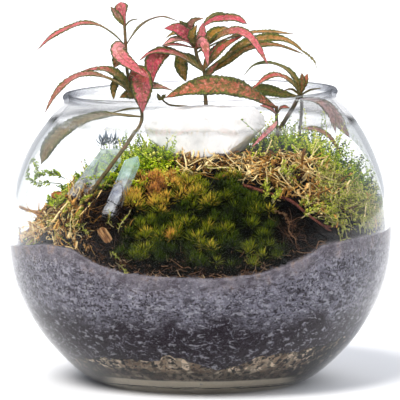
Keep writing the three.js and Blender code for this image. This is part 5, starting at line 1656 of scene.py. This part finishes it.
def stones():
    quartz = cut_stone("milky_quartz_chunk", place(WHITE_QUARTZ), quartz_material(), seed=4, bevel=0.9,
                       dent=0.7, size=5.5)
    dressed(quartz, "white_quartz", "white_quartz")
    look = crystal_material("slim_crystal", (0.092, 0.120), 0.72, 1.15, (0.1, (0.93, 0.94, 0.96)),
                            (0.45, (0.80, 0.82, 0.91)), (0.85, (0.82, 0.93, 0.92)))
    slim = cut_stone("slim_clear_crystal", crystal_corners(**SLIM_CRYSTAL), look, seed=6, bevel=0.3,
                     dent=0.12, size=2.5)
    dressed(slim, "slim_crystal", "clear_crystal")
    look = crystal_material("wide_crystal", (0.095, 0.122), 0.85, 1.12, (0.2, (0.97, 0.98, 0.99)),
                            (0.7, (0.93, 0.99, 0.99)))
    wide = cut_stone("wide_clear_crystal", crystal_corners(**WIDE_CRYSTAL), look, seed=8, bevel=0.35,
                     dent=0.15, size=3)
    dressed(wide, "wide_crystal", "clear_crystal")


def wood():
    red = bark_material("red_twig", (0.20, 0.10, 0.08), (0.36, 0.18, 0.14), (0.55, 0.33, 0.26))
    tan = bark_material("tan_twig", (0.40, 0.26, 0.15), (0.62, 0.44, 0.27), (0.80, 0.64, 0.44))
    pale = bark_material("light_bark", (0.25, 0.15, 0.09), (0.56, 0.38, 0.23), (0.88, 0.72, 0.50),
                         scale=1000, turn=LIGHT_CHIP["turn"])
    orange = bark_material("orange_bark", (0.34, 0.16, 0.05), (0.70, 0.38, 0.12), (0.87, 0.58, 0.26),
                           scale=1000, turn=ORANGE_CHIP["turn"])
    dressed(twig_piece("red_twig_bark", [RED_TWIG, RED_TWIG_BRANCH], red, seed=3), "red_twig", "red_twig")
    dressed(twig_piece("left_twig_bark", [LEFT_TWIG], tan, seed=5), "left_twig", "tan_twig")
    for colour, chip, material, seed in (("light", LIGHT_CHIP, pale, 2), ("orange", ORANGE_CHIP, orange, 3)):
        flake = bark_chip(colour + "_bark_flake", material, seed, **chip)
        dressed(flake, colour + "_bark_chip", colour + "_bark")


def plants():
    woody = stem_material()
    leafy = leaf_material()
    for name, slot, stems, leaves, seed in (
        ("left_plant", "pink_leaves", LEFT_STEMS, LEFT_LEAVES, 100),
        ("centre_plant", "pink_leaves", CENTRE_STEMS, CENTRE_LEAVES, 200),
        ("middle_right_plant", "orange_leaves", MIDDLE_RIGHT_STEMS, MIDDLE_RIGHT_LEAVES, 300),
        ("right_plant", "red_leaves", RIGHT_STEMS, RIGHT_LEAVES, 400),
    ):
        plant(name, slot, stems, leaves, leafy, woody, seed)


# Studio
def studio():
    bpy.ops.mesh.primitive_plane_add(size=FLOOR_SIZE, location=(0, 0, -FLOOR_GAP))
    floor = bpy.context.object
    floor.name = "floor"
    floor.data.materials.append(floor_material())

    world = bpy.data.worlds.new("studio")
    bpy.context.scene.world = world
    look = Look(world)
    height = look.axis("Z", "Generated")
    through = height.ramp((0.0, (0.98, 0.99, 1, 1)), (0.5, (0.97, 0.98, 1, 1)),
                          (0.75, (0.90, 0.91, 0.94, 1)), (1.0, (0.74, 0.76, 0.80, 1)))
    mirrored = height.ramp((0.0, (0.75, 0.78, 0.82, 1)), (0.10, (0.62, 0.64, 0.68, 1)),
                           (0.45, (0.45, 0.46, 0.50, 1)), (0.75, (0.8, 0.82, 0.85, 1)),
                           (1.0, (0.4, 0.4, 0.42, 1)))
    even = look.blend(look.on_path("Is Camera Ray"), (0.37, 0.385, 0.43, 1), (1, 1, 1, 1))
    bent = look.blend(look.on_path("Is Transmission Ray"), even, through)
    background = look.tree.nodes["Background"]
    look.connect(look.blend(look.on_path("Is Glossy Ray"), bent, mirrored), background.inputs["Color"])
    background.inputs["Strength"].default_value = 1.0

    for name, spot, angle, strength, tint in LAMPS:
        light_data = bpy.data.lights.new(name, "SUN")
        light_data.angle = math.radians(angle)
        light_data.energy = strength
        light_data.color = tint
        lamp = bpy.data.objects.new(name, light_data)
        lamp.rotation_euler = Vector(spot).to_track_quat("Z", "Y").to_euler()
        lamp.visible_glossy = False
        lamp.visible_transmission = False
        bpy.context.scene.collection.objects.link(lamp)

    centre_row = PICTURE_PIXELS / 2
    aim_height = (BASE_ROW - centre_row) * MM_PER_PIXEL / math.cos(VIEW_ANGLE)
    aim = Vector(((centre_row - CENTRE_COLUMN) * MM_PER_PIXEL, 0, aim_height)) * MM
    back = Vector((0, -math.cos(VIEW_ANGLE), math.sin(VIEW_ANGLE))) * CAMERA_DISTANCE * MM
    lens = bpy.data.cameras.new("camera")
    lens.sensor_width = SENSOR
    lens.lens = SENSOR * CAMERA_DISTANCE / (PICTURE_PIXELS * MM_PER_PIXEL)
    lens.clip_end = 100
    camera = bpy.data.objects.new("camera", lens)
    camera.location = aim + back
    camera.rotation_euler = (-back).to_track_quat("-Z", "Y").to_euler()
    bpy.context.scene.collection.objects.link(camera)
    bpy.context.scene.camera = camera
    bpy.context.scene.view_settings.view_transform = "Standard"


studio()
dressed(glass_bowl(), "glass_bowl", "clear_glass")
dressed(gravel_layer(), "gravel_layer", "gravel")
dressed(potting_soil(), "potting_soil", "potting_soil")
mosses()
stones()
wood()
plants()
